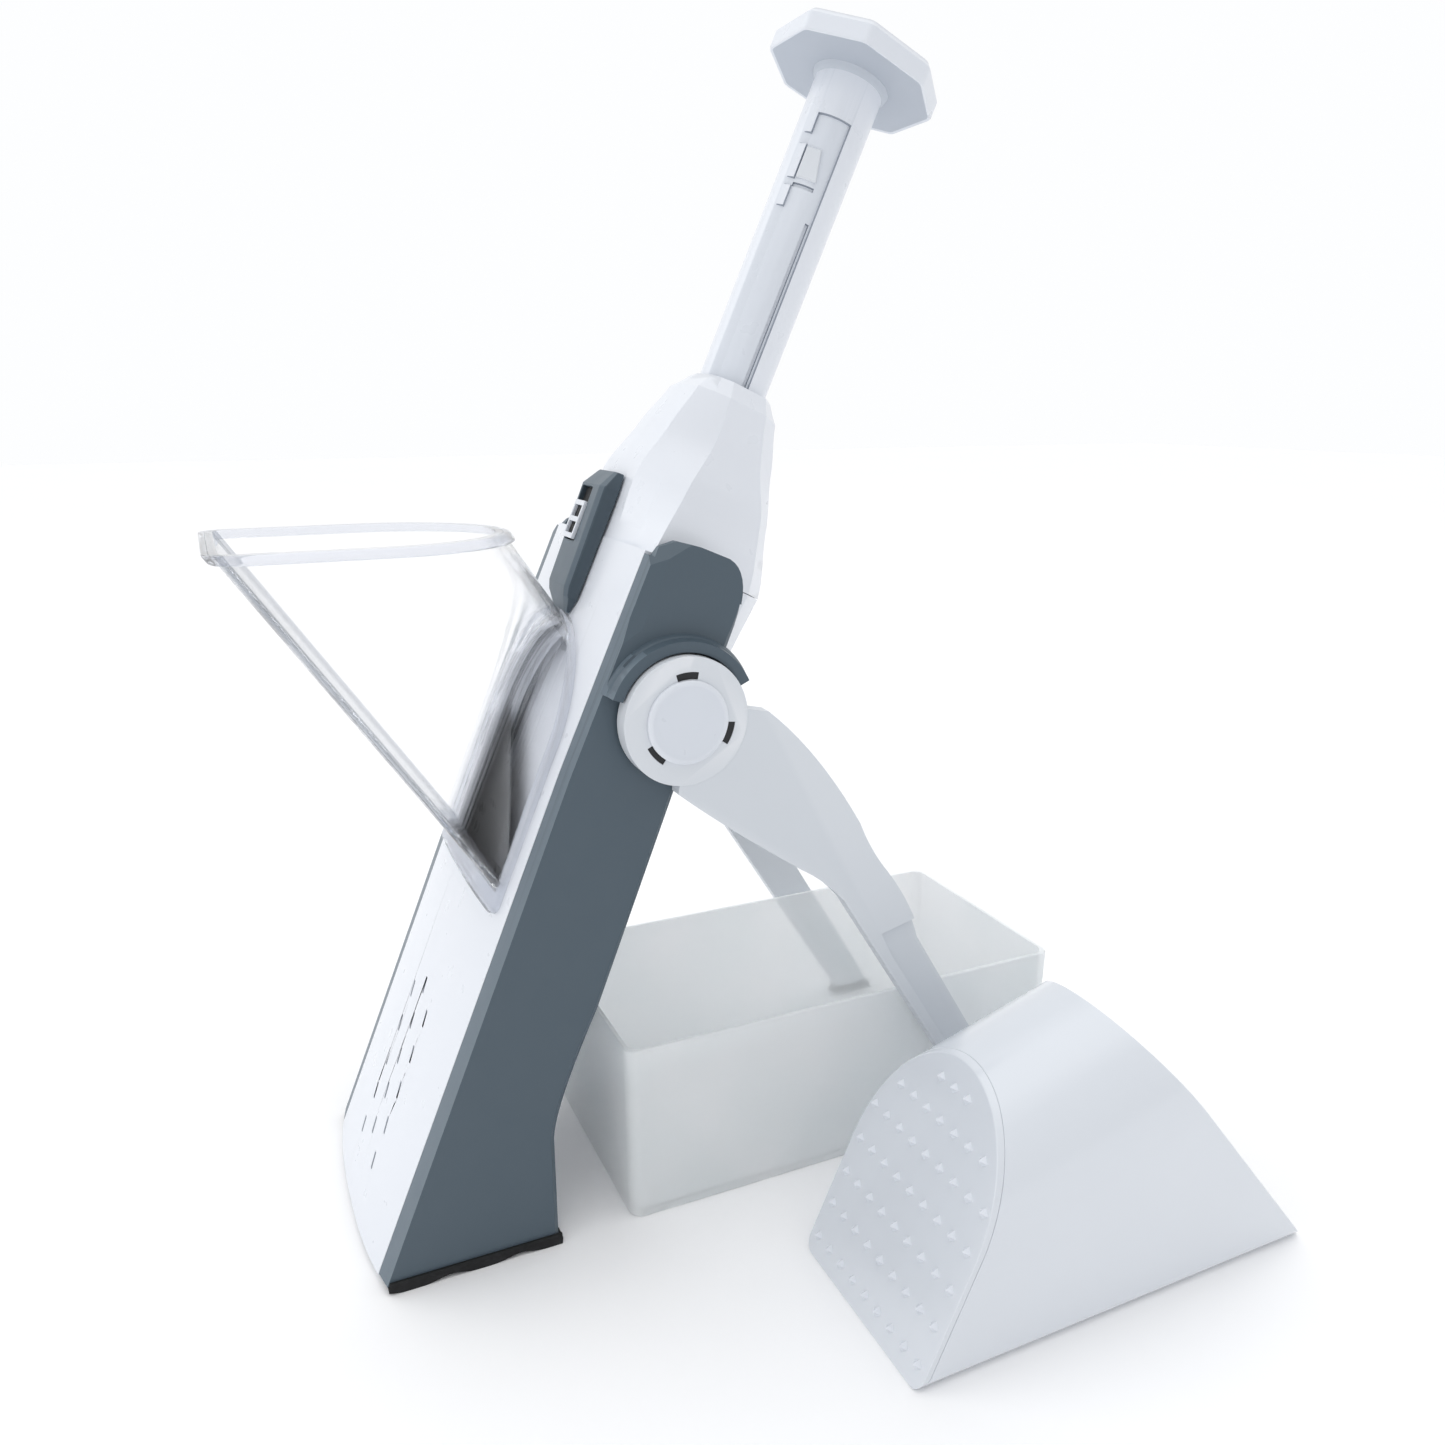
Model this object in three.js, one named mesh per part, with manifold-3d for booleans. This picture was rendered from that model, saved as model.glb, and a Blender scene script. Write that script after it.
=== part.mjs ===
// A free-standing push-down vegetable slicer with a clear feed chute, a folding leg,
// a catch tray and a food pusher. Millimetres, +Z up. Front (chute side) is -Y.
//
// The slicer body leans back, so its pieces are drawn in a body frame: x is sideways,
// n is the depth from the front lower corner to the back, and u runs up the body.
import * as THREE from 'three';
import { mergeVertices } from 'three/addons/utils/BufferGeometryUtils.js';
import Module from 'manifold-3d';

const wasm = await Module();
wasm.setup();

// ---- driving dimensions ----
const GAP = 0.3; // left between pieces that rest on each other
const LEAN = THREE.MathUtils.degToRad(24);
const BODY_HALF_WIDTH = 55;
const COVER_THICKNESS = 3;
const COVER_INSIDE = BODY_HALF_WIDTH - COVER_THICKNESS;
const WALL = 2.5;
const PANEL_HALF_WIDTH = 46.9; // the side covers wrap round the front outside it
const FOOT_HEIGHT = 3; // rubber under the side covers
const HEM_HEIGHT = 2.4; // bottom edge of the front panel above the table

const WINDOW = { halfWidth: 34, bottom: 137, straight: 190, top: 228 };
const CHUTE = { halfWidth: 37, straight: 40, wall: 2, rimHeight: 246, rimFront: -27 };

const AXIS_N = 20; // depth of the plunger's axis
const TUBE = { radius: 12.5, bore: 10, bottom: 318, top: 441 };
const KNOB = { across: 57, corner: 16, bottom: 441.3, top: 451 };
const STEM_RADIUS = 5.5;
const CARRIAGE = { bottom: 231, top: 240 };
const ROD = { x: 45, n: 12, radius: 2, bottom: 68.3, top: 240.7 };
const BRACKET = { bottom: 241, top: 248.5 };
const NECK_BOTTOM = 262;
const NECK_TOP = 328;

const DIAL = { n: 16, u: 257.5, radius: 10, shaft: 2.5 };
const SLICE_MAX = 8; // travel of the thickness plate
const PLATE = { front: 3, thickness: 2.5, bottom: 139, top: 221 };
const SLOT = { x0: -8.2, x1: 2.4, u0: 256.8, u1: 276.6 }; // in the selector's face
const TAB = { x0: -24, x1: -14 }; // the plate's tab under the cam, clear of the tube

const PIVOT = { n: 21, u: 216 };
const HUB = { radius: 21.5, inner: 56.3, outer: 63.3 };
const LEG_ANGLE = Math.atan2(-0.8, 0.6); // from the pivot down to the leg's foot

const TRAY = { x0: -38.5, x1: 56.5, y0: 86, y1: 271, height: 69.5, wall: 2, flare: 1 };
const PUSHER = { x: 127.8, halfWidth: 35.2, arch: 38, y0: 138, y1: 303, faceLean: 24, endLean: 40 };

// ---- materials ----
const finish = (color, roughness, metalness = 0, opacity = 1) =>
  new THREE.MeshStandardMaterial({ color, roughness, metalness, opacity, transparent: opacity < 1 });
const WHITE = finish(0xe6eaf2, 0.35);
const SLATE = finish(0x4a5c68, 0.5);
const GREY = finish(0x9aa3ad, 0.5);
const BLACK = finish(0x15171a, 0.85);
const STEEL = finish(0xc4c8cc, 0.25, 1);
const CLEAR = finish(0xf2f6f8, 0.05, 0, 0.25);
const FROST = finish(0xdfe6e4, 0.45, 0, 0.6);

// ---- groups ----
const group = new THREE.Group();
const body = new THREE.Group();
body.rotation.x = -LEAN;
group.add(body);

function mesh(name, piece, material, parent) {
  const { vertProperties, triVerts } = piece.getMesh();
  const geometry = new THREE.BufferGeometry();
  geometry.setAttribute('position', new THREE.BufferAttribute(new Float32Array(vertProperties), 3));
  geometry.setIndex(new THREE.BufferAttribute(new Uint32Array(triVerts), 1));
  geometry.computeVertexNormals();
  const node = new THREE.Mesh(geometry, material);
  node.name = name;
  parent.add(node);
  return node;
}

// ---- solids ----
function solid(geometry) {
  const plain = geometry.clone();
  plain.deleteAttribute('normal');
  plain.deleteAttribute('uv');
  const merged = mergeVertices(plain, 1e-4);
  return new wasm.Manifold(new wasm.Mesh({
    numProp: 3,
    vertProperties: new Float32Array(merged.attributes.position.array),
    triVerts: new Uint32Array(merged.index.array),
  }));
}

const join = (...pieces) => pieces.reduce((all, piece) => all.add(piece));
const cut = (piece, ...tools) => tools.reduce((left, tool) => left.subtract(tool), piece);

function box(x0, x1, y0, y1, z0, z1) {
  const geometry = new THREE.BoxGeometry(x1 - x0, y1 - y0, z1 - z0);
  return solid(geometry.translate((x0 + x1) / 2, (y0 + y1) / 2, (z0 + z1) / 2));
}

function extrusion(outline, depth, steps = 6) {
  const shape = outline instanceof THREE.Shape
    ? outline
    : new THREE.Shape(outline.map(([a, b]) => new THREE.Vector2(a, b)));
  return new THREE.ExtrudeGeometry(shape, { depth, bevelEnabled: false, curveSegments: steps });
}

// outline in (y, z), carried along x
function alongX(outline, x0, x1, steps) {
  const geometry = extrusion(outline, x1 - x0, steps);
  const turn = new THREE.Matrix4().set(0, 0, 1, x0, 1, 0, 0, 0, 0, 1, 0, 0, 0, 0, 0, 1);
  return solid(geometry.applyMatrix4(turn));
}

// outline in (x, z), carried along y
function alongY(outline, y0, y1, steps) {
  const geometry = extrusion(outline, y1 - y0, steps);
  const turn = new THREE.Matrix4().set(1, 0, 0, 0, 0, 0, -1, y1, 0, 1, 0, 0, 0, 0, 0, 1);
  return solid(geometry.applyMatrix4(turn));
}

// outline in (x, y), carried along z
function alongZ(outline, z0, z1, steps) {
  return solid(extrusion(outline, z1 - z0, steps).translate(0, 0, z0));
}

function cylinderX(radius, x0, x1, y, z, sides = 24) {
  const geometry = new THREE.CylinderGeometry(radius, radius, x1 - x0, sides);
  return solid(geometry.rotateZ(-Math.PI / 2).translate((x0 + x1) / 2, y, z));
}

function cylinderZ(radius, x, y, z0, z1, sides = 24) {
  const geometry = new THREE.CylinderGeometry(radius, radius, z1 - z0, sides);
  return solid(geometry.rotateX(Math.PI / 2).translate(x, y, (z0 + z1) / 2));
}

function coneY(radiusFront, radiusBack, x, y0, y1, z, sides = 10) {
  const geometry = new THREE.CylinderGeometry(radiusBack, radiusFront, y1 - y0, sides);
  return solid(geometry.translate(x, (y0 + y1) / 2, z));
}

// a closed skin over rings of [x, y, z] points, all rings with the same number of points
function loft(rings) {
  const count = rings[0].length;
  const positions = rings.flat(2);
  const index = [];
  for (let level = 0; level + 1 < rings.length; level += 1) {
    for (let i = 0; i < count; i += 1) {
      const a = level * count + i;
      const b = level * count + (i + 1) % count;
      index.push(a, b, b + count, a, b + count, a + count);
    }
  }
  const cap = (ring) => THREE.ShapeUtils.triangulateShape(
    ring.map(([x, y]) => new THREE.Vector2(x, y)), []);
  const last = (rings.length - 1) * count;
  for (const [a, b, c] of cap(rings[0])) index.push(c, b, a);
  for (const [a, b, c] of cap(rings[rings.length - 1])) index.push(last + a, last + b, last + c);
  const geometry = new THREE.BufferGeometry();
  geometry.setAttribute('position', new THREE.BufferAttribute(new Float32Array(positions), 3));
  geometry.setIndex(index);
  return solid(geometry);
}

// a ring that is the same on both sides of x = 0, from its right half, front to back
function bothSides(half, height) {
  const right = half.map(([x, n]) => [x, n, height]);
  const left = half.filter(([x]) => x > 0).reverse().map(([x, n]) => [-x, n, height]);
  return [...right, ...left];
}

// a solid carried through a three.js matrix
function moved(piece, matrix) {
  const { vertProperties, triVerts } = piece.getMesh();
  const geometry = new THREE.BufferGeometry();
  geometry.setAttribute('position', new THREE.BufferAttribute(new Float32Array(vertProperties), 3));
  const index = Array.from(triVerts);
  geometry.setIndex(matrix.determinant() < 0 ? index.reverse() : index);
  return solid(geometry.applyMatrix4(matrix));
}

const mirrored = (piece) => moved(piece, new THREE.Matrix4().makeScale(-1, 1, 1));
const leaned = (piece) => moved(piece, new THREE.Matrix4().makeRotationX(-LEAN));

// a point given by its place over the table, in the body frame
function fromTable(y, z) {
  return [y * Math.cos(LEAN) - z * Math.sin(LEAN), y * Math.sin(LEAN) + z * Math.cos(LEAN)];
}

// everything below a height over the table, in the body frame
function below(height) {
  const geometry = new THREE.BoxGeometry(400, 400, 100);
  return solid(geometry.translate(0, 0, height - 50).rotateX(LEAN));
}

function arch(halfWidth, bottom, straight, top, corner = 0) {
  const shape = new THREE.Shape();
  shape.moveTo(-halfWidth + corner, bottom);
  shape.lineTo(halfWidth - corner, bottom);
  if (corner) shape.absarc(halfWidth - corner, bottom + corner, corner, -Math.PI / 2, 0);
  shape.lineTo(halfWidth, straight);
  shape.absellipse(0, straight, halfWidth, top - straight, 0, Math.PI);
  if (corner) shape.absarc(-halfWidth + corner, bottom + corner, corner, Math.PI, 1.5 * Math.PI);
  return shape;
}

// ---- front housing: crowned front panel with the feed window, and the neck above it ----
// the front is crowned across, and leans forward up to PANEL_STRAIGHT
const PANEL_STRAIGHT = 185;
const rise = (u) => Math.min(u, PANEL_STRAIGHT) - 5;
const edgeDepth = (u) => -1.2 - 0.028 * rise(u);
const middleDepth = (u) => -5.9 - 0.02 * rise(u);
const panelDepth = (x, u) => {
  const toEdge = (Math.abs(x) / BODY_HALF_WIDTH) ** 2.5;
  return middleDepth(u) + (edgeDepth(u) - middleDepth(u)) * toEdge;
};
const panelLevels = [-12, PANEL_STRAIGHT, NECK_BOTTOM + 1];

// points across the front from one side to the other, set back from the panel's face
function acrossPanel(halfWidth, u, setBack = 0, steps = 10) {
  return Array.from({ length: steps + 1 }, (_, i) => {
    const x = halfWidth * (2 * i / steps - 1);
    return [x, panelDepth(x, u) + setBack, u];
  });
}

function panelRing(u) {
  const back = acrossPanel(PANEL_HALF_WIDTH, u, WALL).toReversed();
  return [...acrossPanel(PANEL_HALF_WIDTH, u), ...back];
}

// half rings of the neck's outside: front face, front corner facet, crease, side, back
const neckLevels = [
  [262, [[0, -9.6], [20, -8.6], [35, -6.6], [49.5, -3.6], [33, 40], [20, 51]]],
  [286, [[0, -9.6], [17, -8.6], [26, -2.6], [33, 4.6], [26, 38], [16, 46]]],
  [307, [[0, -4.5], [15, -2.5], [19, 4.5], [22, 12.5], [22, 31], [13, 40.5]]],
  [322, [[0, 1], [13, 2.5], [16.5, 7.5], [19, 13], [19, 28], [11.5, 36]]],
  [328, [[0, 5.5], [9.5, 7], [13, 9.5], [15.5, 13.5], [15.5, 27], [9, 32.5]]],
];
const NECK_INSET = [[0, 1], [-1, 1], [-2, 0.9], [-2.8, 0.6], [-2.5, -0.4], [-1.5, -1]];

function neckRing([u, half], inset = 0) {
  const moved = half.map(([x, n], i) => {
    const [dx, dn] = NECK_INSET[i];
    return [x + dx * inset, n + dn * WALL * inset];
  });
  return bothSides(moved, u);
}

const windowHole = alongY(arch(WINDOW.halfWidth, WINDOW.bottom, WINDOW.straight, WINDOW.top), -30, 30);
const neckHollow = loft([
  neckRing([NECK_BOTTOM - 6, neckLevels[0][1]], 1),
  ...neckLevels.slice(0, 4).map((level) => neckRing(level, 1)),
]);
const frontPanel = cut(
  loft(panelLevels.map(panelRing)),
  below(HEM_HEIGHT),
  windowHole,
);
const neck = cut(
  loft(neckLevels.map((level) => neckRing(level))),
  neckHollow,
  cylinderZ(TUBE.radius + 0.5, 0, AXIS_N, NECK_TOP - 20, NECK_TOP + 5, 32),
);
mesh('front_housing', join(frontPanel, neck), WHITE, body);

// ---- rear cover: closes the back, open where the slices fall out ----
const rearLevels = [
  [66, [[0, 33.5], [26, 33.5], [44, 33], [51.4, 32]]],
  [192, [[0, 32], [26, 32], [44, 31.5], [51.4, 30.2]]],
  [212, [[0, 37], [24, 37], [40, 33], [48.5, 27]]],
  [236, [[0, 47], [22, 47], [36, 36], [46, 24]]],
  [NECK_BOTTOM - GAP, [[0, 51], [20, 51], [33, 40], [44, 22]]],
];

function rearRing([u, half]) {
  const right = half.slice(1);
  const across = [
    ...right.toReversed().map(([x, n]) => [x, n, u]),
    ...right.map(([x, n]) => [-x, n, u]),
  ];
  const inside = across.toReversed().map(([x, n]) => [x * 0.955, n - WALL, u]);
  return [...across, ...inside];
}

const outlet = alongY([[-36, 84], [36, 84], [36, 178], [-36, 178]], 20, 50);
const screwPlaces = [[-40, 76], [40, 76], [-43, 196], [43, 196]];
const screwHoles = screwPlaces.map(([x, u]) => coneY(3.4, 3.4, x, 20, 50, u, 16));
mesh('rear_cover', cut(loft(rearLevels.map(rearRing)), outlet, ...screwHoles), WHITE, body);

screwPlaces.forEach(([x, u], i) => {
  const head = coneY(3.1, 3.1, x, 30.2, 32.2, u, 12);
  const shank = coneY(1.5, 1.5, x, 24, 30.4, u, 8);
  mesh(`rear_screw_${i + 1}`, join(head, shank), STEEL, body);
});

// ---- side covers ----
const FOOT_BACK = 59.6;
const COVER_TOP = 261.3; // where the front strip ends
const sideOutline = [
  [edgeDepth(-12), -12], fromTable(FOOT_BACK, -12), fromTable(FOOT_BACK, 42),
  [32.6, 77], [33.6, 92], [34.2, 112], [30.6, 191], [28.9, 246], [28.4, 259], [26, 265],
  [22, 268.4], [17.8, 269.5], [7, 269.3], [0, 268.2], [-4.5, 265], [edgeDepth(258), 258],
  [edgeDepth(PANEL_STRAIGHT), PANEL_STRAIGHT],
];
// a strip of the cover wraps round the front and carries the panel's crown on
const frontLip = loft([-12, PANEL_STRAIGHT, COVER_TOP].map((u) => {
  const inner = PANEL_HALF_WIDTH + GAP;
  const middle = (inner + BODY_HALF_WIDTH) / 2;
  const front = edgeDepth(u);
  return [[inner, panelDepth(inner, u), u], [middle, panelDepth(middle, u), u],
    [BODY_HALF_WIDTH, front, u], [BODY_HALF_WIDTH, front + 9, u], [COVER_INSIDE, front + 9, u],
    [COVER_INSIDE, front + 4.5, u], [inner, panelDepth(inner, u) + 3, u]];
}));
const collarRing = (() => {
  const shape = new THREE.Shape();
  const start = LEAN + 0.42;
  const end = LEAN + 2.75;
  shape.absarc(PIVOT.n, PIVOT.u, HUB.radius + 5.2, start, end);
  shape.absarc(PIVOT.n, PIVOT.u, HUB.radius + 0.9, end, start, true);
  return alongX(shape, BODY_HALF_WIDTH - 0.5, BODY_HALF_WIDTH + 5, 14);
})();
const coverPlate = alongX(sideOutline, COVER_INSIDE, BODY_HALF_WIDTH);
const pinHole = cylinderX(7.4, 40, 70, PIVOT.n, PIVOT.u);
const cover = cut(join(coverPlate, frontLip, collarRing), below(FOOT_HEIGHT), pinHole);
mesh('side_cover_right', cover, SLATE, body);
const dialHole = cylinderX(DIAL.shaft + 0.6, 40, 70, DIAL.n, DIAL.u, 16);
mesh('side_cover_left', mirrored(cut(cover, dialHole)), SLATE, body);

// ---- rubber pads under the side covers ----
function footPad() {
  const shape = new THREE.Shape();
  shape.moveTo(0.6, 0.8);
  shape.quadraticCurveTo(6, -0.5, 14, 0);
  shape.lineTo(FOOT_BACK - 10, 0);
  shape.quadraticCurveTo(FOOT_BACK, 0, FOOT_BACK + 0.6, 1.2);
  shape.lineTo(FOOT_BACK + 0.6, FOOT_HEIGHT - GAP);
  shape.lineTo(0.6, FOOT_HEIGHT - GAP);
  return cut(alongX(shape, 50.6, 56, 5), box(0, 100, -20, 100, -5, 0));
}
mesh('foot_pad_right', footPad(), BLACK, group);
mesh('foot_pad_left', mirrored(footPad()), BLACK, group);

// ---- inner frame: brackets, guide rods, springs and the thickness plate's guides ----
const upperBracket = cut(
  join(
    box(-49, 49, 4, 19, BRACKET.bottom, BRACKET.top),
    box(-18, 18, 4, 37, BRACKET.bottom, BRACKET.top),
  ),
  cylinderZ(TUBE.radius + 0.8, 0, AXIS_N, BRACKET.bottom - 1, BRACKET.top + 1, 32),
  box(TAB.x0 - 2, TAB.x1 + 2, 0, 14, BRACKET.bottom - 1, BRACKET.top + 1),
);
mesh('upper_bracket', upperBracket, GREY, body);
mesh('lower_bracket', box(-50, 50, 3, 26, 60, ROD.bottom - GAP), GREY, body);

for (const [side, sign] of [['right', 1], ['left', -1]]) {
  const x = sign * ROD.x;
  mesh(`guide_rod_${side}`, cylinderZ(ROD.radius, x, ROD.n, ROD.bottom, ROD.top, 12), STEEL, body);
  const guide = box(33.6, 36, 3.4, 14, 100, BRACKET.bottom - GAP);
  mesh(`plate_guide_${side}`, sign > 0 ? guide : mirrored(guide), GREY, body);
}

class Helix extends THREE.Curve {
  constructor(x, n, radius, bottom, top, turns) {
    super();
    Object.assign(this, { x, n, radius, bottom, top, turns });
  }

  getPoint(t, target = new THREE.Vector3()) {
    const angle = 2 * Math.PI * this.turns * t;
    return target.set(
      this.x + this.radius * Math.cos(angle),
      this.n + this.radius * Math.sin(angle),
      this.bottom + (this.top - this.bottom) * t,
    );
  }
}

function spring(x) {
  const turns = 11;
  const wire = new THREE.Shape();
  wire.absarc(0, 0, 0.5, 0, 2 * Math.PI);
  const extrudePath = new Helix(x, ROD.n, 3.3, ROD.bottom + 0.9, CARRIAGE.bottom - 0.9, turns);
  return solid(new THREE.ExtrudeGeometry(wire, { steps: turns * 8, curveSegments: 2, extrudePath }));
}
mesh('return_spring_right', spring(ROD.x), STEEL, body);
mesh('return_spring_left', spring(-ROD.x), STEEL, body);

// slices slide down this ramp, out of the back and into the tray
const ramp = alongX([[3, 133], [36, 105], [37, 107], [4, 134.5]], -33, 33);
const rampFeet = [-30, 26].map((x) =>
  alongX([[5, ROD.bottom], [20, ROD.bottom], [20, 119.4], [5, 132.1]], x, x + 4));
mesh('outlet_ramp', join(ramp, ...rampFeet), WHITE, body);

// ---- plunger: tube, knob, catch, stem, and the blade carriage it drives ----
const round = (radius) => {
  const shape = new THREE.Shape();
  shape.absarc(0, AXIS_N, radius, 0, 2 * Math.PI);
  return shape;
};
// a wedge of a ring round the plunger's axis; angles run from +x towards the front
function ringWedge(inner, outer, startDegrees, endDegrees, bottom, top) {
  const shape = new THREE.Shape();
  const start = THREE.MathUtils.degToRad(-startDegrees);
  const end = THREE.MathUtils.degToRad(-endDegrees);
  shape.absarc(0, AXIS_N, outer, start, end, true);
  shape.absarc(0, AXIS_N, inner, end, start, false);
  return alongZ(shape, bottom, top, 5);
}
const track = ringWedge(TUBE.radius - 0.6, TUBE.radius + 2, -3, 55, 322, 424);
const keySlot = ringWedge(TUBE.radius - 1.5, TUBE.radius + 2, 1, 8, 324, 388);
const catchPocket = ringWedge(TUBE.bore - 1, TUBE.radius + 2, 15.5, 53.5, 401, 413);
const tube = cut(
  alongZ(round(TUBE.radius), TUBE.bottom, TUBE.top, 20),
  alongZ(round(TUBE.bore), TUBE.bottom - 1, TUBE.top - 3, 14),
  track,
  keySlot,
  catchPocket,
);
mesh('plunger_tube', tube, WHITE, body);
mesh('plunger_catch', ringWedge(TUBE.bore, TUBE.radius - 0.1, 17, 52, 401.4, 412.6), WHITE, body);

function octagon(across, corner) {
  const h = across / 2;
  const c = h - corner;
  return [[h, -c], [h, c], [c, h], [-c, h], [-h, c], [-h, -c], [-c, -h], [c, -h]]
    .map(([x, n]) => [x, n + AXIS_N]);
}
const knobRing = (across, u) => {
  const corner = KNOB.corner * across / KNOB.across;
  return octagon(across, corner).map(([x, n]) => [x, n, u]);
};
const knob = loft([
  knobRing(KNOB.across - 2, KNOB.bottom),
  knobRing(KNOB.across, KNOB.bottom + 1.2),
  knobRing(KNOB.across, KNOB.top - 4),
  knobRing(KNOB.across - 9, KNOB.top),
]);
mesh('plunger_knob', knob, WHITE, body);

const stemProfile = [[0, 240.3], [STEM_RADIUS, 240.3], [STEM_RADIUS, 320], [TUBE.bore - 0.3, 321],
  [TUBE.bore - 0.3, 326], [STEM_RADIUS, 327], [STEM_RADIUS, 400], [0, 400]];
const stem = solid(new THREE.LatheGeometry(stemProfile.map(([r, u]) => new THREE.Vector2(r, u)), 16)
  .rotateX(Math.PI / 2).translate(0, AXIS_N, 0));
mesh('plunger_stem', stem, GREY, body);

const carriagePlan = [[-49, 3.2], [-36.6, 3.2], [-36.6, 14.7], [36.6, 14.7], [36.6, 3.2], [49, 3.2],
  [49, 18], [30, 26], [-30, 26], [-49, 18]];
const rodHole = (x) => cylinderZ(ROD.radius + 0.4, x, ROD.n, 200, 300, 16);
const carriage = cut(alongZ(carriagePlan, CARRIAGE.bottom, CARRIAGE.top), rodHole(ROD.x), rodHole(-ROD.x));
mesh('blade_carriage', carriage, GREY, body);

const bladeOutline = [[-42, 239], [-42, 230], [-36, 227], [36, 233], [42, 233], [42, 239]];
mesh('slicing_blade', alongY(bladeOutline, 0.2, 1, 4), STEEL, body);
const combTeeth = Array.from({ length: 7 }, (_, i) => {
  const x = -27 + 9 * i;
  return alongY([[x - 0.8, 234], [x, 226], [x + 0.8, 234]], 1.3, 2.7);
});
mesh('julienne_comb', join(box(-42, 42, 1.3, 2.7, 233.5, 239), ...combTeeth), STEEL, body);
for (const [side, x] of [['right', 39.5], ['left', -39.5]]) {
  mesh(`blade_screw_${side}`, coneY(1.6, 2.4, x, -1.4, -0.1, 236, 12), STEEL, body);
}

// ---- thickness control: a dial turns a spiral cam that lets the plate move back ----
const plateBack = PLATE.front + PLATE.thickness;
const tabBack = PLATE.front + 1.5;
const camFull = DIAL.n - tabBack - GAP;
const camOutline = (() => {
  // each point is where the tab's flat back touches the cam after that much turning
  const steps = 18;
  const drop = SLICE_MAX / Math.PI;
  const points = Array.from({ length: steps + 1 }, (_, i) => {
    const turn = Math.PI * i / steps;
    const reach = camFull - drop * turn;
    return [DIAL.n - reach * Math.cos(turn) - drop * Math.sin(turn),
      DIAL.u - reach * Math.sin(turn) + drop * Math.cos(turn)];
  });
  const small = camFull - SLICE_MAX;
  const back = [0.2, 0.4, 0.6].map((part) => {
    const turn = Math.PI * (1 + part);
    return [DIAL.n - small * Math.cos(turn), DIAL.u - small * Math.sin(turn)];
  });
  return [...points, ...back];
})();
const camPiece = join(
  alongX(camOutline, TAB.x0, TAB.x1),
  cylinderX(DIAL.shaft, -51, TAB.x1, DIAL.n, DIAL.u, 12),
);
mesh('thickness_cam', camPiece, GREY, body);
const knobGrips = Array.from({ length: 10 }, (_, i) => {
  const angle = 2 * Math.PI * i / 10;
  return cylinderX(1.1, -66, -58, DIAL.n + DIAL.radius * Math.cos(angle),
    DIAL.u + DIAL.radius * Math.sin(angle), 6);
});
const dialPiece = cut(
  join(
    cylinderX(DIAL.radius, -64.5, -55.6, DIAL.n, DIAL.u, 30),
    cylinderX(DIAL.shaft, -56, -51.3, DIAL.n, DIAL.u, 12),
  ),
  ...knobGrips,
);
mesh('thickness_dial', dialPiece, SLATE, body);

const plateRibs = [-24, 0, 24].map((x) =>
  box(x - 1, x + 1, PLATE.front + 1, plateBack, PLATE.bottom + 4, PLATE.top - 4));
const thicknessPlate = join(
  box(-33.2, 33.2, PLATE.front, PLATE.front + 1.5, PLATE.bottom, PLATE.top),
  box(TAB.x0, TAB.x1, PLATE.front, tabBack, PLATE.top - 1, DIAL.u + 7),
  ...plateRibs,
);
mesh('thickness_plate', thicknessPlate, GREY, body);

// ---- selector on the upper front ----
const selectorRing = (u, halfWidth, front) => [[-halfWidth, front, u], [halfWidth, front, u],
  [halfWidth + 0.8, -9.95, u], [-halfWidth - 0.8, -9.95, u]];
const selectorBlock = cut(
  loft([
    selectorRing(234, 7, -11.5), selectorRing(240, 10, -15.2),
    selectorRing(277.5, 10.6, -16.4), selectorRing(284, 9.2, -12.8),
  ]),
  box(SLOT.x0, SLOT.x1, -20, -14.2, SLOT.u0, SLOT.u1),
);
mesh('selector_housing', selectorBlock, SLATE, body);
// a plate with three raised bars, two dark steps between them
const sliderBars = [0, 1, 2].map((step) => {
  const low = SLOT.u0 + 0.6 + 6 * step;
  return box(SLOT.x0 + GAP, SLOT.x1 - GAP, -17, -15.6, low, low + 1.9);
});
const sliderPlate = box(SLOT.x0 + GAP, SLOT.x1 - GAP, -15.7, -14.5, SLOT.u0 + 0.4, SLOT.u0 + 14.7);
mesh('selector_slider', join(sliderPlate, ...sliderBars), BLACK, body);

// ---- feed chute: a clear D-shaped tube from a level rim down to the window ----
// feed frame: x sideways, y up from the chute's flat floor, z back up along the feed
const floorLow = [49.3, 128.6];
const floorHigh = [CHUTE.rimFront, CHUTE.rimHeight];
const feedAngle = Math.atan2(floorHigh[1] - floorLow[1], floorLow[0] - floorHigh[0]);
function feedSolid(inset, z0, z1) {
  const outline = arch(CHUTE.halfWidth - inset, inset, CHUTE.straight,
    CHUTE.straight + CHUTE.halfWidth - inset, Math.max(6 - inset, 1));
  const geometry = extrusion(outline, z1 - z0, 8);
  geometry.translate(0, 0, z0);
  geometry.rotateX(Math.PI / 2 - feedAngle);
  return solid(geometry.translate(0, floorLow[0], floorLow[1]));
}
const frontLevels = [-20, PANEL_STRAIGHT, 300];
const flangeBack = leaned(loft(frontLevels.map((u) =>
  [...acrossPanel(52, u, -GAP), [90, 150, u], [-90, 150, u]])));
const aboveRim = box(-100, 100, -200, 200, CHUTE.rimHeight, CHUTE.rimHeight + 200);
const rimBand = feedSolid(-2, -80, 170).intersect(
  box(-100, 100, -200, 200, CHUTE.rimHeight - 5, CHUTE.rimHeight));
const flangeSlab = leaned(loft(frontLevels.map((u) =>
  [...acrossPanel(52, u, -2.8), ...acrossPanel(52, u, -GAP).toReversed()])));
const flange = flangeSlab.intersect(
  leaned(alongY(arch(41, 131, 190, 233.4, 4), -40, 40)));
const chute = cut(
  join(cut(feedSolid(0, -80, 170), aboveRim), rimBand, flange),
  feedSolid(CHUTE.wall, -90, 200),
  flangeBack,
);
mesh('feed_chute', chute, CLEAR, group);

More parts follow.
